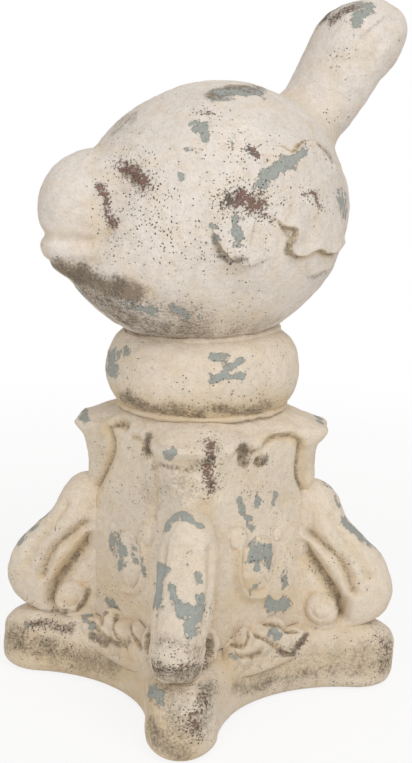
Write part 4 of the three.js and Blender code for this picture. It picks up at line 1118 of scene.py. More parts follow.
def face_rise(plan, design, sizes):
    """Rise of a face and the painted shade and dirt in its grooves and pockets, at (place along it, height):
    raised ridges, cut grooves and pockets, and a low crown across the panel."""
    crown = np.clip(1 - (plan[..., 0] / PANEL_HALF_WIDTH) ** 2, 0, 1)
    crown = crown * smooth_step(*PANEL_FOOT, plan[..., 1])
    rise = sizes.panel_rise * crown * smooth_step(*PANEL_HEAD, plan[..., 1])
    for height, width, line in design["raised"]:
        rise = np.maximum(rise, ridge(line_distance(plan, curve_through(line, 24)), width, height))
    shade_and_dirt = np.zeros(rise.shape)
    for depth, width, line in design["cut"]:
        near = line_distance(plan, curve_through(line, 24))
        rise = rise - sizes.groove_depth * depth * ridge(near, width)
        shade_and_dirt = np.maximum(shade_and_dirt, GROOVE_SHADE_AND_DIRT * depth * ridge(near, GROOVE_SHADE_AND_DIRT * width))
    for depth, width, place in design["pockets"]:
        near = np.linalg.norm(plan - np.array(place), axis=-1)
        rise = rise - sizes.groove_depth * depth * ridge(near, width)
        shade_and_dirt = np.maximum(shade_and_dirt, depth * ridge(near, width))
    return rise, shade_and_dirt


def face_place(rings, name):
    """Place along a face and height above the core's foot, for points near it."""
    middle = face_heading(name)
    along = -rings[..., 0] * math.sin(middle) + rings[..., 1] * math.cos(middle)
    return np.stack([face_design(name)["side"] * along, rings[..., 2] - PEDESTAL_FOOT], -1)


PEDESTAL_MARKS = {
    "blue": [
        (0.95, 5, (84, 413), (86, 418)), (0.85, 5.5, (166, 455), (173, 450)),
        (0.62, 5, (116, 534), (119, 550), (122, 564)), (0.55, 3.4, (132, 546), (134, 560)),
        (0.6, 3.4, (141, 556), (143, 572)), (0.8, 3.2, (240, 500), (244, 516), (254, 528)),
        (0.8, 3.4, (254, 499), (256, 505)), (0.6, 2.0, (276, 484), (274, 504)),
        (0.65, 5, (108, 598), (115, 606)), (0.6, 2.4, (287, 571), (282, 588)),
        (0.9, 8, (270, 605), (284, 603)),
    ],
    "specks": [
        (1.0, 13, (209, 446), (212, 458), (208, 474), (209, 486)), (0.9, 8, (216, 450), (217, 466)),
        (0.75, 3.4, (103, 446), (102, 462)), (0.7, 6, (243, 448), (246, 464), (260, 460)),
        (0.55, 7, (146, 438), (146, 452)), (0.25, 12, (96, 450), (90, 500)),
        (0.2, 30, (130, 480), (150, 540)), (0.2, 26, (250, 480), (280, 560)), (0.4, 9, (98, 590), (140, 598)),
    ],
    # Painted shade in the pockets, under the front ear's lip and in the hollow neck above the front leaf
    "grime": [
        (0.85, 6, (147, 438), (148, 452)), (0.5, 6, (154, 466), (180, 468), (206, 465)),
        (0.36, 24, (150, 492), (176, 484), (196, 494)), (0.85, 6, (243, 449), (245, 464)),
        (0.85, 5, (258, 460), (262, 458)),
    ],
    "warm": [
        (0.95, 6, (104, 430), (113, 442), (110, 460), (98, 486), (88, 512), (84, 540)),
        (0.9, 5, (266, 440), (290, 434), (302, 448), (304, 480), (314, 508), (309, 530)),
        (0.7, 8, (206, 500), (212, 560), (212, 640)), (0.6, 12, (100, 580), (130, 600), (140, 610)),
        (0.6, 12, (232, 600), (290, 600)),
    ],
}


class PedestalMaker(bpy.types.Operator):
    """Make the pedestal's core, with its ears, necks and carved faces."""

    bl_idname = "garden_bird.pedestal"
    bl_label = "Pedestal core"

    def execute(self, context):
        sizes = context.scene.pedestal_sizes
        angle = np.linspace(0, 2 * np.pi, PEDESTAL_COLUMNS, endpoint=False)[None]
        height = np.linspace(0, RIM_HEIGHT, PEDESTAL_ROWS["side"])[:, None]
        side = polar(pedestal_reach(angle, height), angle, PEDESTAL_FOOT + height)
        share = np.linspace(0, 1, PEDESTAL_ROWS["lid"])[1:, None]
        edge = pedestal_reach(angle, np.full((1, 1), RIM_HEIGHT))
        rise = (PEDESTAL_HEIGHT - RIM_HEIGHT) * np.sin(share * np.pi / 2) ** LID_SQUARENESS
        lid = polar(edge + (LID_REACH - edge) * share, angle, PEDESTAL_FOOT + RIM_HEIGHT + rise)
        bore_reach, bore_height = np.array(PEDESTAL_BORE).T[..., None]
        rings = np.concatenate([side, lid, polar(bore_reach, angle, PEDESTAL_FOOT + bore_height)])
        outer = np.ones((len(rings), 1))
        outer[-PLAIN_ROWS:] = 0
        around = np.broadcast_to(angle, rings.shape[:-1])
        carved = smooth_step(0, CORNER_PLAIN, from_corner(around)) * outer
        relief = casting_noise(rings, "pedestal") * outer
        shade_and_dirt = np.zeros(relief.shape)
        for name in FACES:
            near = np.cos(around - face_heading(name)) > math.cos(FACE_REACH)
            rise, dirt_and_shade = face_rise(face_place(rings, name), face_design(name), sizes)
            relief += np.where(near, rise, 0) * carved
            shade_and_dirt += np.where(near, dirt_and_shade, 0) * carved
        rings = rings + grid_outward(rings, True) * relief[..., None]
        rings[0, :, 2] = PEDESTAL_FOOT
        wear_and_shade = dressed(rings, PEDESTAL_MARKS, loop=True, crease=7.0, shade_and_dirt=shade_and_dirt)
        add_piece("pedestal_cast", "pedestal_core", "pedestal_paint", rings, wear_and_shade, loop=True)
        return {"FINISHED"}


# Plinth

ARC_POINTS = 60


def plinth_outline(count):
    """The star plan, evenly spaced by length: rounded tongues on the axes joined by hollow arcs."""
    sweep = math.asin(HOLLOW_HALF_SPAN / HOLLOW_RADIUS)
    tip = np.linspace(-np.pi / 2, np.pi / 2, ARC_POINTS, endpoint=False)
    arc = np.linspace(np.pi + sweep, np.pi - sweep, ARC_POINTS, endpoint=False)
    tongue = np.stack([LOBE_SHOULDER + LOBE_TIP * np.cos(tip), LOBE_HALF_WIDTH * np.sin(tip), 0 * tip], -1)
    hollow = polar(HOLLOW_RADIUS, arc, 0.0) + np.array([PLINTH_SIDE_REACH + HOLLOW_RADIUS, 0, 0])
    quarter = [turned(tongue, 0), turned(hollow, np.pi / 4)]
    path = np.vstack([turned(piece, turn * np.pi / 2) for turn in range(4) for piece in quarter])[:, :2]
    return evenly_spaced(np.vstack([path, path[:1]]), count, closed=True)


PLINTH_MARKS = {
    "blue": [
        (0.85, 7, (152, 692), (157, 700)), (0.8, 5, (86, 618), (93, 624)), (0.75, 5, (270, 632), (277, 634)),
        (0.6, 4, (232, 657), (236, 658)), (0.5, 4, (27, 625), (30, 626)),
    ],
    "specks": [
        (0.8, 6, (210, 682), (212, 698)), (0.9, 15, (204, 698), (192, 716), (198, 730)),
        (0.5, 22, (200, 690), (190, 724)), (0.75, 5, (178, 716), (182, 728)),
        (0.85, 9, (30, 624), (56, 626), (72, 630)), (0.55, 20, (14, 640), (80, 646)),
        (0.85, 14, (376, 636), (388, 650), (384, 664)), (0.6, 4, (246, 694), (300, 686), (378, 682)),
        (0.22, 24, (330, 640), (370, 646)), (0.85, 7, (278, 650), (294, 652), (304, 640)),
        (0.7, 9, (218, 632), (230, 628)),
    ],
    # Dark specks of dirt on the left, and painted shade: on the left face, on the front lobe's left and lower
    # side, in the creases and folds of the fleurons, and with dirt along the right face
    "grime": [
        (0.58, 18, (16, 638), (60, 654), (110, 666)), (0.6, 7, (30, 622), (72, 628)),
        (0.7, 5, (94, 634), (106, 644), (128, 640)), (0.56, 14, (208, 690), (202, 716), (198, 732)),
        (0.42, 34, (168, 690), (176, 738)), (0.6, 14, (150, 726), (164, 742), (184, 752)),
        (0.5, 12, (240, 690), (300, 674), (384, 664)), (0.36, 26, (250, 676), (330, 658), (380, 652)),
        (0.5, 10, (384, 640), (390, 660)), (0.9, 4, (276, 648), (288, 656), (296, 648), (306, 636)),
        (0.7, 5, (218, 632), (232, 626)), (0.7, 3.4, (96, 612), (106, 614)),
    ],
    # Painted shade on the left face, the front lobe's left and lower side and the right face, and yellowed
    # paint with painted shade in the hollows
    "warm": [
        (0.9, 22, (20, 644), (60, 656), (120, 672)),
        (0.9, 20, (144, 694), (150, 724), (166, 742), (186, 750)),
        (0.55, 18, (240, 680), (300, 664), (384, 656)), (0.8, 9, (120, 640), (134, 660), (140, 690)),
        (0.7, 12, (226, 660), (236, 680)), (0.6, 10, (90, 610), (130, 620)),
        (0.5, 12, (300, 618), (360, 624)),
    ],
}

PLINTH_TOP_ROUND = 17
PLINTH_FOOT_ROUND = 12
PLINTH_COLUMNS = 640
PLINTH_ROWS = {"foot": 14, "side": 10, "crown": 26, "top": 26, "under": 5}
# Shares of the height between which the unevenness sets in
PLINTH_PLAIN_FOOT = (0.02, 0.2)
# Rounds that even out the outline's inward directions, and how the rings crowd at the upper edge
SMOOTHING_ROUNDS = 20
PLINTH_TOP_SPREAD = 1.2
# The lobes' tops sag by this much from here outwards
LOBE_SAG = 5
LOBE_SAG_START = 118


class PlinthMaker(bpy.types.Operator):
    """Make the four-lobed plinth."""

    bl_idname = "garden_bird.plinth"
    bl_label = "Plinth"

    def execute(self, context):
        outline = plinth_outline(PLINTH_COLUMNS)
        run = np.roll(outline, -1, 0) - np.roll(outline, 1, 0)
        inward = np.stack([-run[:, 1], run[:, 0]], -1) / np.linalg.norm(run, axis=1)[:, None]
        for _ in range(SMOOTHING_ROUNDS):
            inward = (inward + np.roll(inward, 1, 0) + np.roll(inward, -1, 0)) / 3
        inward = inward / np.linalg.norm(inward, axis=1)[:, None]
        foot = np.linspace(-np.pi / 2, 0, PLINTH_ROWS["foot"])
        crown = np.linspace(0, np.pi / 2, PLINTH_ROWS["crown"])
        straight = np.linspace(PLINTH_FOOT_ROUND, PLINTH_TOP - PLINTH_TOP_ROUND, PLINTH_ROWS["side"])[1:-1]
        inset = np.concatenate([PLINTH_FOOT_ROUND * (1 - np.cos(foot)), 0 * straight,
                                PLINTH_TOP_ROUND * (1 - np.cos(crown))])
        height = np.concatenate([PLINTH_FOOT_ROUND * (1 + np.sin(foot)), straight,
                                 PLINTH_TOP - PLINTH_TOP_ROUND * (1 - np.sin(crown))])
        side = outline[None] + inward[None] * inset[:, None, None]
        side = np.concatenate([side, np.broadcast_to(height[:, None, None], (*side.shape[:2], 1))], -1)
        around = np.arctan2(outline[:, 1], outline[:, 0])
        hole = polar(PLINTH_HOLE, around, 0.0)
        share = np.linspace(0, 1, PLINTH_ROWS["top"])[1:, None, None] ** PLINTH_TOP_SPREAD
        top = side[-1] + (hole + np.array([0, 0, PLINTH_TOP]) - side[-1]) * share
        under = side[0] + (hole - side[0]) * np.linspace(1, 0, PLINTH_ROWS["under"])[:-1, None, None]
        rings = np.concatenate([side, top, under])
        reach = np.linalg.norm(rings[..., :2], axis=-1)
        level = rings[..., 2] / PLINTH_TOP
        rings[..., 2] -= LOBE_SAG * smooth_step(LOBE_SAG_START, LOBE_REACH, reach) * level**2
        relief = casting_noise(rings, "plinth") * smooth_step(*PLINTH_PLAIN_FOOT, level)
        rings = rings + grid_outward(rings, True) * relief[..., None]
        rings[..., 2] = np.maximum(rings[..., 2], 0)
        wear_and_shade = dressed(rings, PLINTH_MARKS, loop=True, crease=8.0)
        add_piece("plinth_cast", "plinth", "pedestal_paint", rings, wear_and_shade, loop=True)
        return {"FINISHED"}


# Corner leaves, in the frame of the corner on +X

LEAF_TOP = 107
LEAF_TIP_REACH = 100
LEAF_BELLY_REACH = 149.5


def leaf_line(shares):
    """Points on a leaf, from shares of the way out from its tip to the fullest part and of its height."""
    return [(LEAF_TIP_REACH + (LEAF_BELLY_REACH - LEAF_TIP_REACH) * out, LEAF_TOP * up) for out, up in shares]


LEAF_CREST = leaf_line([
    (0, 1), (0.13, 0.86), (0.28, 0.72), (0.58, 0.58), (0.84, 0.455), (1, 0.26), (0.94, 0.11), (0.76, 0.02),
    (0.4, -0.035), (0.04, -0.02),
])
LEAF_HALF_WIDTH = 23
LEAF_TIP_HALF_WIDTH = 11
LEAF_ROOT_REACH = 74
LEAF_ROOT_TAPER = 6
LEAF_ROOT_RISE = 4
LEAF_ROOT_FALL = 1.15
LEAF_OPENING = 0.22
ARCH_SQUARENESS = 0.75
ARCH_CROWDING = 0.18
LEAF_ROOT_SHARE = 0.66
LEAF_BACK_DEPTH = 10
LEAF_BACK_SHARE = 0.7
LEAF_TIP_SHARE = 0.12
# Shares of the half width between which the grooves set in
LEAF_FLANK = (0.5, 0.8)
# Grooves between the fingers: depth as a share of the leaf's groove, half width and line
LEAF_GROOVES = [
    (0.45, 3.6, leaf_line([(0.02, 0.8), (0.24, 0.65), (0.4, 0.55), (0.52, 0.46), (0.62, 0.36)])),
    (0.95, 3.8, leaf_line([(-0.32, 0.67), (-0.06, 0.57), (0.16, 0.49), (0.3, 0.38), (0.38, 0.26)])),
    (1.5, 5.0, leaf_line([(-0.4, 0.55), (-0.16, 0.4), (0.02, 0.29), (0.16, 0.19), (0.22, 0.06)])),
    (0.5, 3.2, leaf_line([(0.3, 0.2), (0.26, 0.1), (0.16, 0.0)])),
]
# Painted shade and dirt in a groove, as shares of its depth and width
LEAF_SHADE_AND_DIRT = 0.75
LEAF_SHADE_AND_DIRT_WIDTH = 0.7
LEAF_SCROLL = (96, 14)
LEAF_TIP_ROWS = 16
LEAF_SCROLL_RADIUS = 12.5
LEAF_SCROLL_RISE = 7.5
# Radius, half width and depth of the groove on the scroll
LEAF_SCROLL_GROOVE = (6.5, 1.6, 1.3)
# Sideways lean of a leaf's foot, and the heights where it sets in and is full
LEAF_LEAN = {"front": -4}
LEAF_LEAN_HEIGHTS = (70, 15)
LEAF_MARKS = {
    "blue": [
        (0.95, 5.5, (165, 526), (168, 518), (182, 515), (190, 518)), (0.85, 3, (194, 520), (200, 527)),
        (0.9, 6.5, (162, 568), (156, 588), (157, 604)), (0.85, 5.5, (173, 588), (176, 602)),
        (0.85, 8, (180, 606), (191, 614), (192, 630)), (0.8, 5, (201, 598), (198, 622)),
        (0.75, 4, (197, 574), (199, 580)), (0.9, 5, (20, 540), (28, 528), (36, 524)),
        (0.85, 4.5, (326, 482), (330, 486)), (0.7, 2.0, (335, 497), (340, 506)),
        (0.9, 6.5, (348, 522), (358, 530), (372, 541)),
    ],
    "specks": [
        (0.7, 5, (207, 602), (210, 620)), (0.88, 13, (152, 662), (178, 672), (204, 664)),
        (0.45, 14, (160, 650), (200, 648)), (0.6, 4, (48, 532), (56, 528)),
        (0.55, 5, (14, 572), (22, 596), (30, 606)), (0.55, 4, (310, 566), (322, 582), (334, 604)),
        (0.3, 12, (330, 560), (362, 580)), (0.22, 16, (40, 545), (60, 600)),
    ],
    # Painted shade under the front leaf's curled foot, and under the left leaf's scroll and along its foot
    "grime": [
        (0.68, 10, (150, 668), (178, 680), (206, 672)), (0.8, 3.4, (88, 588), (86, 598), (78, 610)),
        (0.6, 4, (22, 606), (44, 612), (66, 612)), (0.45, 12, (160, 640), (196, 650)),
    ],
    "warm": [
        (0.8, 8, (84, 540), (66, 560), (54, 580)), (0.7, 8, (300, 556), (318, 570), (330, 596)),
        (0.6, 6, (66, 600), (86, 604)),
    ],
}


def leaf_rings(sizes):
    """Arches from the core's side over the crest and back, along the crest from the tip to the scroll. Each
    arch is a squared half ellipse, grooved on its sides, with a scroll's dome at the foot, and the first
    ones shrink to their middles. Also the rise of the surface and the painted shade and dirt in its grooves."""
    rows, columns = 170, 150
    crest = curve_through(LEAF_CREST, rows)
    t = np.linspace(0, 1, rows)[:, None]
    root_reach = LEAF_ROOT_REACH - LEAF_ROOT_TAPER * t
    root_height = (LEAF_TOP + LEAF_ROOT_RISE) * np.maximum(1 - LEAF_ROOT_FALL * t, 0)
    opened = np.minimum(1, np.sqrt(t / LEAF_OPENING))
    half = LEAF_TIP_HALF_WIDTH + (LEAF_HALF_WIDTH - LEAF_TIP_HALF_WIDTH) * opened
    turn = np.linspace(-np.pi / 2, np.pi / 2, columns)[None]
    turn = turn + ARCH_CROWDING * np.sin(2 * turn)
    side = np.sign(turn) * np.abs(np.sin(turn)) ** ARCH_SQUARENESS
    lift = np.maximum(np.cos(turn), 0) ** ARCH_SQUARENESS
    reach = root_reach + (crest[:, :1] - root_reach) * lift
    height = PEDESTAL_FOOT + root_height + (crest[:, 1:] - root_height) * lift
    drawn_in = LEAF_ROOT_SHARE + (1 - LEAF_ROOT_SHARE) * np.minimum(2 * lift, 1)
    over = np.stack([reach, side * half * drawn_in, height], -1)
    plan = np.stack([over[..., 0], over[..., 2] - PEDESTAL_FOOT], -1)
    flank = smooth_step(*LEAF_FLANK, np.abs(side) + 0 * reach)
    rise, shade_and_dirt = np.zeros(plan.shape[:-1]), np.zeros(plan.shape[:-1])
    for depth, width, line in LEAF_GROOVES:
        near = line_distance(plan, curve_through(line, 24))
        rise -= sizes.leaf_groove * depth * ridge(near, width)
        shade_and_dirt = np.maximum(shade_and_dirt, LEAF_SHADE_AND_DIRT * depth * ridge(near, LEAF_SHADE_AND_DIRT_WIDTH * width))
    scroll = np.linalg.norm(plan - np.array(LEAF_SCROLL), axis=-1)
    dome = np.sqrt(np.clip(1 - (scroll / LEAF_SCROLL_RADIUS) ** 2, 0, 1))
    rise = np.where(scroll < LEAF_SCROLL_RADIUS, np.maximum(rise, 0) + LEAF_SCROLL_RISE * dome, rise)
    radius, half_width, depth = LEAF_SCROLL_GROOVE
    rise -= ridge(scroll - radius, half_width, depth)
    back_share = np.linspace(1, -1, 10)[None, 1:-1]
    back = np.stack(np.broadcast_arrays(root_reach - LEAF_BACK_DEPTH,
                                        half * LEAF_ROOT_SHARE * LEAF_BACK_SHARE * back_share,
                                        PEDESTAL_FOOT + root_height), -1)
    rings = np.concatenate([over, back], 1)
    plain = np.zeros((rows, back.shape[1]))
    rise, shade_and_dirt = (np.concatenate([values * flank, plain], 1) for values in (rise, shade_and_dirt))
    rounded = np.sqrt(1 - (1 - np.minimum(np.arange(rows) / LEAF_TIP_ROWS, 1)) ** 2)[:, None, None]
    middle = rings.mean(1, keepdims=True)
    return middle + (rings - middle) * np.maximum(rounded, LEAF_TIP_SHARE), rise, shade_and_dirt


class LeafMaker(bpy.types.Operator):
    """Make the four leaves at the pedestal's corners."""

    bl_idname = "garden_bird.leaves"
    bl_label = "Corner leaves"

    def execute(self, context):
        rings, rise, shade_and_dirt = leaf_rings(context.scene.pedestal_sizes)
        outward = grid_outward(rings)
        for quarter, name in enumerate(CORNERS):
            turn = quarter * np.pi / 2
            low = smooth_step(*LEAF_LEAN_HEIGHTS, rings[..., 2] - PEDESTAL_FOOT)
            leaned = rings + low[..., None] * np.array([0, LEAF_LEAN.get(name, 0), 0])
            points = turned(leaned, turn)
            relief = rise + casting_noise(points, "leaf")
            points = points + turned(outward, turn) * relief[..., None]
            wear_and_shade = dressed(points, LEAF_MARKS, shade_and_dirt=shade_and_dirt)
            add_piece(f"leaf_{name}", f"corner_leaf_{name}", "ornament_paint", points, wear_and_shade)
        return {"FINISHED"}


# Ornaments on the faces and on the plinth's sides

EGG_MIDDLE = np.array([0.0, 57.0])
EGG_HALF = np.array([17.0, 21.5])
CARTOUCHE_OUTLINE = [
    (0, 24), (20, 30), (32, 46), (34, 64), (36, 80), (30, 92), (20, 90), (14, 84), (0, 82), (-14, 84),
    (-20, 92), (-30, 94), (-36, 82), (-34, 64), (-32, 46), (-20, 30),
]
FRAME_SCROLL = [(8, 31), (0, 32), (-10, 35), (-17, 43), (-20.5, 54), (-21, 66), (-20, 74)]
FRAME_HALF_WIDTH = 3.4
# Place along the face, height and size of each knob, and the size that rises as high as the scroll
KNOBS = [(-20, 80, 8.5), (19, 75, 5)]
FULL_KNOB = 9
CARTOUCHE_SUNK = 4
CARTOUCHE_COLUMNS = 230
# Rings as shares of the way from the middle to the outline
CARTOUCHE_SPANS = np.linspace(1, 0.02, 84)
# How much of the face's own relief a cartouche keeps, and how far it lies under the face where its own
# relief is less than the least
GROUND_SHARE = 0.8
CARTOUCHE_SKIRT = 1.0
LEAST_RELIEF = 0.05
CARTOUCHE_MARKS = {kind: PEDESTAL_MARKS[kind] + own for kind, own in {
    "blue": [
        (0.85, 5, (251, 528), (254, 540), (252, 560)), (0.85, 5, (268, 548), (266, 566)),
        (0.75, 3.4, (262, 545), (256, 570)),
    ],
    "specks": [
        (0.6, 8, (256, 560), (268, 572)),
    ],
    "grime": [
        (0.5, 9, (256, 548), (266, 562)),
    ],
    "warm": [
        (0.7, 6, (238, 552), (240, 580), (256, 592)),
    ],
}.items()}


def cartouche_rise(plan, sizes):
    """Rise of a cartouche: a domed egg, a worn scroll that rises round one side of it, and a knob at each
    upper end."""
    egg = np.linalg.norm((plan - EGG_MIDDLE) / EGG_HALF, axis=-1)
    dome = sizes.egg_relief * np.sqrt(np.clip(1 - egg**2, 0, 1))
    frame_line = line_distance(plan, curve_through(FRAME_SCROLL, 40))
    rise = np.maximum(dome, sizes.frame_relief * ridge(frame_line, FRAME_HALF_WIDTH))
    for along, height, size in KNOBS:
        off = np.linalg.norm(plan - np.array([along, height]), axis=-1)
        knob = np.sqrt(np.clip(1 - (off / size) ** 2, 0, 1))
        rise = np.maximum(rise, sizes.frame_relief * size / FULL_KNOB * knob)
    return rise


def face_surface(plan, name):
    """Point of the core's face at a place along it and a height: the face's distance is found by going
    round the loop of angle and reach four times."""
    along = plan[..., 0] * face_design(name)["side"]
    distance = np.full(along.shape, float(FACE_PROFILE[0][1]))
    for _ in range(4):
        angle = np.pi / 4 - np.arctan(along / distance)
        distance = pedestal_reach(angle, plan[..., 1]) * np.cos(np.pi / 4 - angle)
    return turned(np.stack([distance, along, PEDESTAL_FOOT + plan[..., 1]], -1), face_heading(name))


def relief_rings(outline, middle, spans, surface, outward, rise, sunk):
    """Rings that shrink from an outline to its middle over the carrier, with the relief's rise, closed by
    some of the same rings under the surface. Also the plan of the rings over it."""
    plan = middle + (outline - middle) * spans[:, None, None]
    base = surface(plan)
    over = base + outward * rise(plan)[..., None]
    under = base - outward * sunk
    return np.concatenate([under[[-1, len(spans) * 2 // 3, len(spans) // 3, 0]], over]), plan


class CartoucheMaker(bpy.types.Operator):
    """Make the egg and scroll on each face of the pedestal."""

    bl_idname = "garden_bird.cartouches"
    bl_label = "Face cartouches"

    def execute(self, context):
        sizes = context.scene.pedestal_sizes
        outline = curve_through(CARTOUCHE_OUTLINE, CARTOUCHE_COLUMNS, closed=True)
        for name in FACES:
            flat = turned(np.array([1.0, 0.0, 0.0]), face_heading(name))

            def surface(plan):
                return face_surface(plan, name)

            def rise(plan):
                ground = face_rise(plan, face_design(name), sizes)[0]
                own = cartouche_rise(plan, sizes)
                noise = casting_noise(surface(plan), "pedestal")
                skirt = ground - CARTOUCHE_SKIRT
                return np.where(own > LEAST_RELIEF, own + GROUND_SHARE * ground, skirt) + noise

            rings, _ = relief_rings(outline, EGG_MIDDLE, CARTOUCHE_SPANS, surface, flat, rise,
                                    CARTOUCHE_SUNK)
            wear_and_shade = dressed(rings, CARTOUCHE_MARKS, crease=4.0)
            add_piece(f"cartouche_{name}", f"face_cartouche_{name}", "ornament_paint", rings, wear_and_shade)
        return {"FINISHED"}


FLEURON_MIDDLE = np.array([0.0, 3.0])
FLEURON_HALF = np.array([42.0, 17.0])
FLEURON_SUNK = 12
FLEURON_COLUMNS = 220
FLEURON_SPANS = np.linspace(1, 0.02, 70)
# A low mound joins the lumps: place of its ridge up the plane, height where its slopes would meet, how wide
# the ridge is rounded, slope up the plane and fall along the side
MOUND_RIDGE = 1
MOUND_TOP = 1
MOUND_ROUND = 3
MOUND_SLOPE = 1.05
MOUND_FALL = 0.012
# The lumps stand this far behind the edge and this far sunk, and are worn flat and blended this much
LUMP_BACK = 5
LUMP_SUNK = 4.5
LUMP_WEAR = 3
LUMP_BLEND = 8.0
# Hollows worn into a fleuron: rise of the stretches between them, depth, width and seed
FLEURON_HOLLOWS = (1.2, 2.6, 11, 21)
# Lumps: place along the side, height over the plinth's edge and size
FLEURON_LUMPS = [(0, 2, 13), (15, 9, 9), (19, -4, 10), (32, -3, 9)]
# Folds cut in a fleuron: depth, half width and line along and up its plane
FLEURON_FOLDS = [
    (2.6, 2.4, [(-30, 2), (-18, -4), (-6, -5)]),
    (3.0, 2.2, [(8, 12), (18, 5), (30, 3)]),
    (2.6, 2.0, [(-10, 12), (-6, 4), (2, -2), (12, -4)]),
    (2.0, 2.0, [(-26, 9), (-20, 3), (-16, 10)]),
]


def plinth_side_at(along):
    """Distance of the plinth's hollow side from the axis, at a place along it."""
    return PLINTH_SIDE_REACH + HOLLOW_RADIUS - np.sqrt(HOLLOW_RADIUS**2 - along**2)


def fleuron_height(plan):
    """Rise over the plane that leans back 45 degrees through the plinth's upper edge, and the painted shade
    and
    dirt in its folds: the highest of the lumps' worn balls and of a low mound that joins them, through a
    smooth greatest. The plan holds places along the side and up the plane."""
    along, up = plan[..., 0], plan[..., 1]
    rise = MOUND_TOP - MOUND_SLOPE * np.sqrt((up - MOUND_RIDGE) ** 2 + MOUND_ROUND**2) - MOUND_FALL * along**2
    for place, height, size in FLEURON_LUMPS:
        # A ball's middle, up the plane and out of it
        middle_up, middle_out = (height + LUMP_BACK) / math.sqrt(2), (height - LUMP_BACK) / math.sqrt(2)
        for side in (1, -1) if place else (1,):
            off = (along - side * place) ** 2 + (up - middle_up) ** 2
            ball = np.sqrt(np.clip(size**2 - off, 0, None))
            lump = middle_out - LUMP_SUNK + ball - LUMP_WEAR * off / size**2
            rise = -soft_least(-rise, -lump, LUMP_BLEND)
    shade_and_dirt = np.zeros(rise.shape)
    for depth, width, line in FLEURON_FOLDS:
        near = ridge(line_distance(plan, curve_through(line, 16)), width)
        rise = rise - depth * near
        shade_and_dirt = np.maximum(shade_and_dirt, near)
    worn = np.stack([along, up, 0 * along], -1)
    lift, depth, pitch, seed = FLEURON_HOLLOWS
    return rise + lift - depth * np.abs(lattice_noise(worn, pitch, seed)), shade_and_dirt


class FleuronMaker(bpy.types.Operator):
    """Make the rosette and curls over each of the plinth's hollow sides."""

    bl_idname = "garden_bird.fleurons"
    bl_label = "Plinth fleurons"

    def execute(self, context):
        angle = np.linspace(0, 2 * np.pi, FLEURON_COLUMNS, endpoint=False)
        outline = FLEURON_HALF * np.stack([np.cos(angle), np.sin(angle)], -1)
        for name in FACES:
            leaning = turned(np.array([1, 0, 1]) / math.sqrt(2), face_heading(name))

            def surface(plan):
                reach = plinth_side_at(plan[..., 0]) - plan[..., 1] / math.sqrt(2)
                flat = np.stack([reach, plan[..., 0], PLINTH_TOP + plan[..., 1] / math.sqrt(2)], -1)
                return turned(flat, face_heading(name))

            def rise(plan):
                return fleuron_height(plan)[0] + casting_noise(surface(plan), "fleuron")

            rings, plan = relief_rings(outline, FLEURON_MIDDLE, FLEURON_SPANS, surface, leaning, rise,
                                       FLEURON_SUNK)
            shade_and_dirt = fleuron_height(plan)[1]
            shade_and_dirt = np.concatenate([np.zeros((len(rings) - len(shade_and_dirt), len(outline))), shade_and_dirt])
            wear_and_shade = dressed(rings, PLINTH_MARKS, crease=5.0, shade_and_dirt=shade_and_dirt)
            add_piece(f"fleuron_{name}", f"plinth_fleuron_{name}", "ornament_paint", rings, wear_and_shade)
        return {"FINISHED"}


# Stage

# Size and place of each lamp, the height that they aim at and the floor's half width, in metres, and the
# faint warmth of the light from all round
LAMPS = {"key": (1.1, (0.75, -1.15, 1.7)), "fill": (1.4, (-0.35, -1.75, 0.85))}
LAMP_AIM = 0.27
DOME_TINT = (1, 0.99, 0.975, 1)
FLOOR_HALF = 6.0
# The floor looks plain white far off: distances in metres from the middle, and the shares of white there
FLOOR_FADE = (0.25, 1.3, 0.84, 1.0)


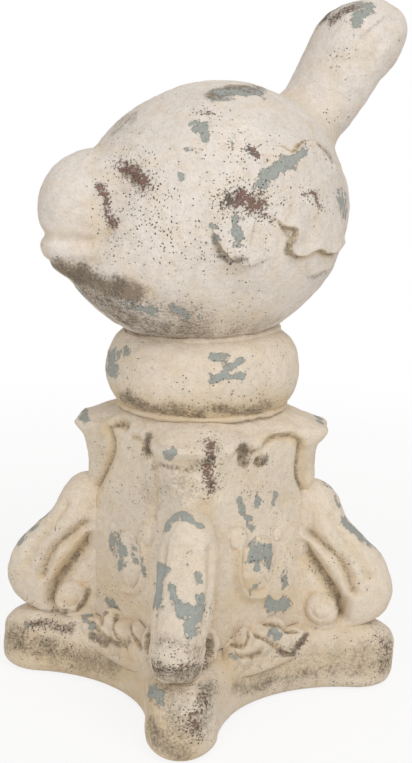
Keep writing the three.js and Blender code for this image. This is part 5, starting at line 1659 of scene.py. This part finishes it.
class StageMaker(bpy.types.Operator):
    """Make the camera, the lamps, the light from all round and the floor."""

    bl_idname = "garden_bird.stage"
    bl_label = "Stage"

    def execute(self, context):
        scene = context.scene
        scene.view_settings.view_transform = "Standard"
        self.make_camera(scene)
        for name, (size, place) in LAMPS.items():
            self.make_lamp(name, getattr(scene.lights, name), size, np.array(place))
        self.make_dome(scene)
        self.make_floor(scene)
        return {"FINISHED"}

    def stand(self, thing, right, up, away, place):
        """Puts a camera or lamp at a place in metres, looking against its away direction."""
        rows = [*(np.stack([right, up, away, place], -1)), (0, 0, 0, 1)]
        thing.matrix_world = Matrix([list(map(float, row)) for row in rows])
        bpy.context.collection.objects.link(thing)

    def make_camera(self, scene):
        """The camera that the marks were placed through."""
        place = scene.bird_camera
        ahead, across, above = camera_axes(place)
        data = bpy.data.cameras.new("picture_camera")
        data.sensor_fit, data.sensor_height, data.lens = "VERTICAL", SENSOR_HEIGHT, place.lens
        scene.camera = bpy.data.objects.new("picture_camera", data)
        self.stand(scene.camera, across, above, -ahead, np.array(place.place) * METRE)

    def make_lamp(self, name, watts, size, place):
        """A square lamp that looks at the middle of the object."""
        data = bpy.data.lights.new(name, "AREA")
        data.energy, data.size = watts, size
        away = place - np.array([0, 0, LAMP_AIM])
        away = away / np.linalg.norm(away)
        right = np.cross([0, 0, 1], away)
        right = right / np.linalg.norm(right)
        self.stand(bpy.data.objects.new(name, data), right, np.cross(away, right), away, place)

    def rays_that_see(self, tree):
        """1 for the rays that come from the camera, or from it by a reflection or through glass."""
        path = add_node(tree, "LightPath").node.outputs
        seen = path["Is Camera Ray"]
        for kind in ("Is Glossy Ray", "Is Transmission Ray"):
            seen = add_node(tree, "Math", seen, path[kind], operation="MAXIMUM")
        return seen

    def make_dome(self, scene):
        """Even light from all round, and plain white where the camera, glass or metal sees past the floor."""
        world = bpy.data.worlds.new("dome")
        tree = empty_tree(world)
        light = add_node(tree, "Background", Color=DOME_TINT, Strength=scene.lights.dome)
        white = add_node(tree, "Background", Color=(1, 1, 1, 1), Strength=1.0)
        mixed = add_node(tree, "MixShader", self.rays_that_see(tree), light, white)
        add_node(tree, "OutputWorld", Surface=mixed)
        scene.world = world

    def make_floor(self, scene):
        """A pale floor that keeps a soft shadow: matt, and part white to the camera, all white far away."""
        mesh = bpy.data.meshes.new("floor")
        corners = [(x * FLOOR_HALF, y * FLOOR_HALF, 0) for x, y in ((-1, -1), (1, -1), (1, 1), (-1, 1))]
        mesh.from_pydata(corners, [], [(0, 1, 2, 3)])
        floor = bpy.data.objects.new("floor", mesh)
        bpy.context.collection.objects.link(floor)
        material = bpy.data.materials.new("matt_floor_paint")
        tree = empty_tree(material)
        place = add_node(tree, "TexCoord").node.outputs["Object"]
        away = add_node(tree, "VectorMath", place, operation="LENGTH")
        share = add_node(tree, "MapRange", away, *FLOOR_FADE, interpolation_type="SMOOTHSTEP")
        seen = add_node(tree, "Math", self.rays_that_see(tree), share, operation="MULTIPLY")
        matt = add_node(tree, "BsdfDiffuse", Color=(*scene.bird_colours.floor, 1))
        white = add_node(tree, "Emission", Color=(1, 1, 1, 1), Strength=1.0)
        mixed = add_node(tree, "MixShader", seen, matt, white)
        add_node(tree, "OutputMaterial", Surface=mixed)
        mesh.materials.append(material)


class GardenBirdPanel(bpy.types.Panel):
    """Buttons that make the stage and each group of castings."""

    bl_idname = "VIEW3D_PT_garden_bird"
    bl_label = "Garden Bird"
    bl_space_type = "VIEW_3D"
    bl_region_type = "UI"
    bl_category = "Garden Bird"

    def draw(self, context):
        for maker in MAKERS:
            self.layout.operator(maker.bl_idname)
        for group in GROUPS:
            values = getattr(context.scene, group)
            for name in values.bl_rna.properties.keys():
                if name not in ("rna_type", "name"):
                    self.layout.prop(values, name)


GROUPS = {
    "bird_camera": CameraPlace,
    "lights": LightLevels,
    "bird_sizes": BirdSizes,
    "pedestal_sizes": PedestalSizes,
    "bird_colours": PaintColours,
}
MAKERS = [StageMaker, PlinthMaker, PedestalMaker, LeafMaker, CartoucheMaker, FleuronMaker, RingMaker,
          BirdMaker, WingMaker]


def register():
    """Registers the classes and their place in the scene's settings."""
    for made in (*GROUPS.values(), *MAKERS, GardenBirdPanel):
        bpy.utils.register_class(made)
    for name, group in GROUPS.items():
        setattr(bpy.types.Scene, name, PointerProperty(type=group))


def unregister():
    """Takes away what register adds."""
    for name in GROUPS:
        delattr(bpy.types.Scene, name)
    for made in (GardenBirdPanel, *MAKERS[::-1], *GROUPS.values()):
        bpy.utils.unregister_class(made)


def main():
    """Makes the stage and every casting."""
    register()
    for maker in MAKERS:
        group, name = maker.bl_idname.split(".")
        getattr(getattr(bpy.ops, group), name)()


if __name__ == "__main__":
    main()
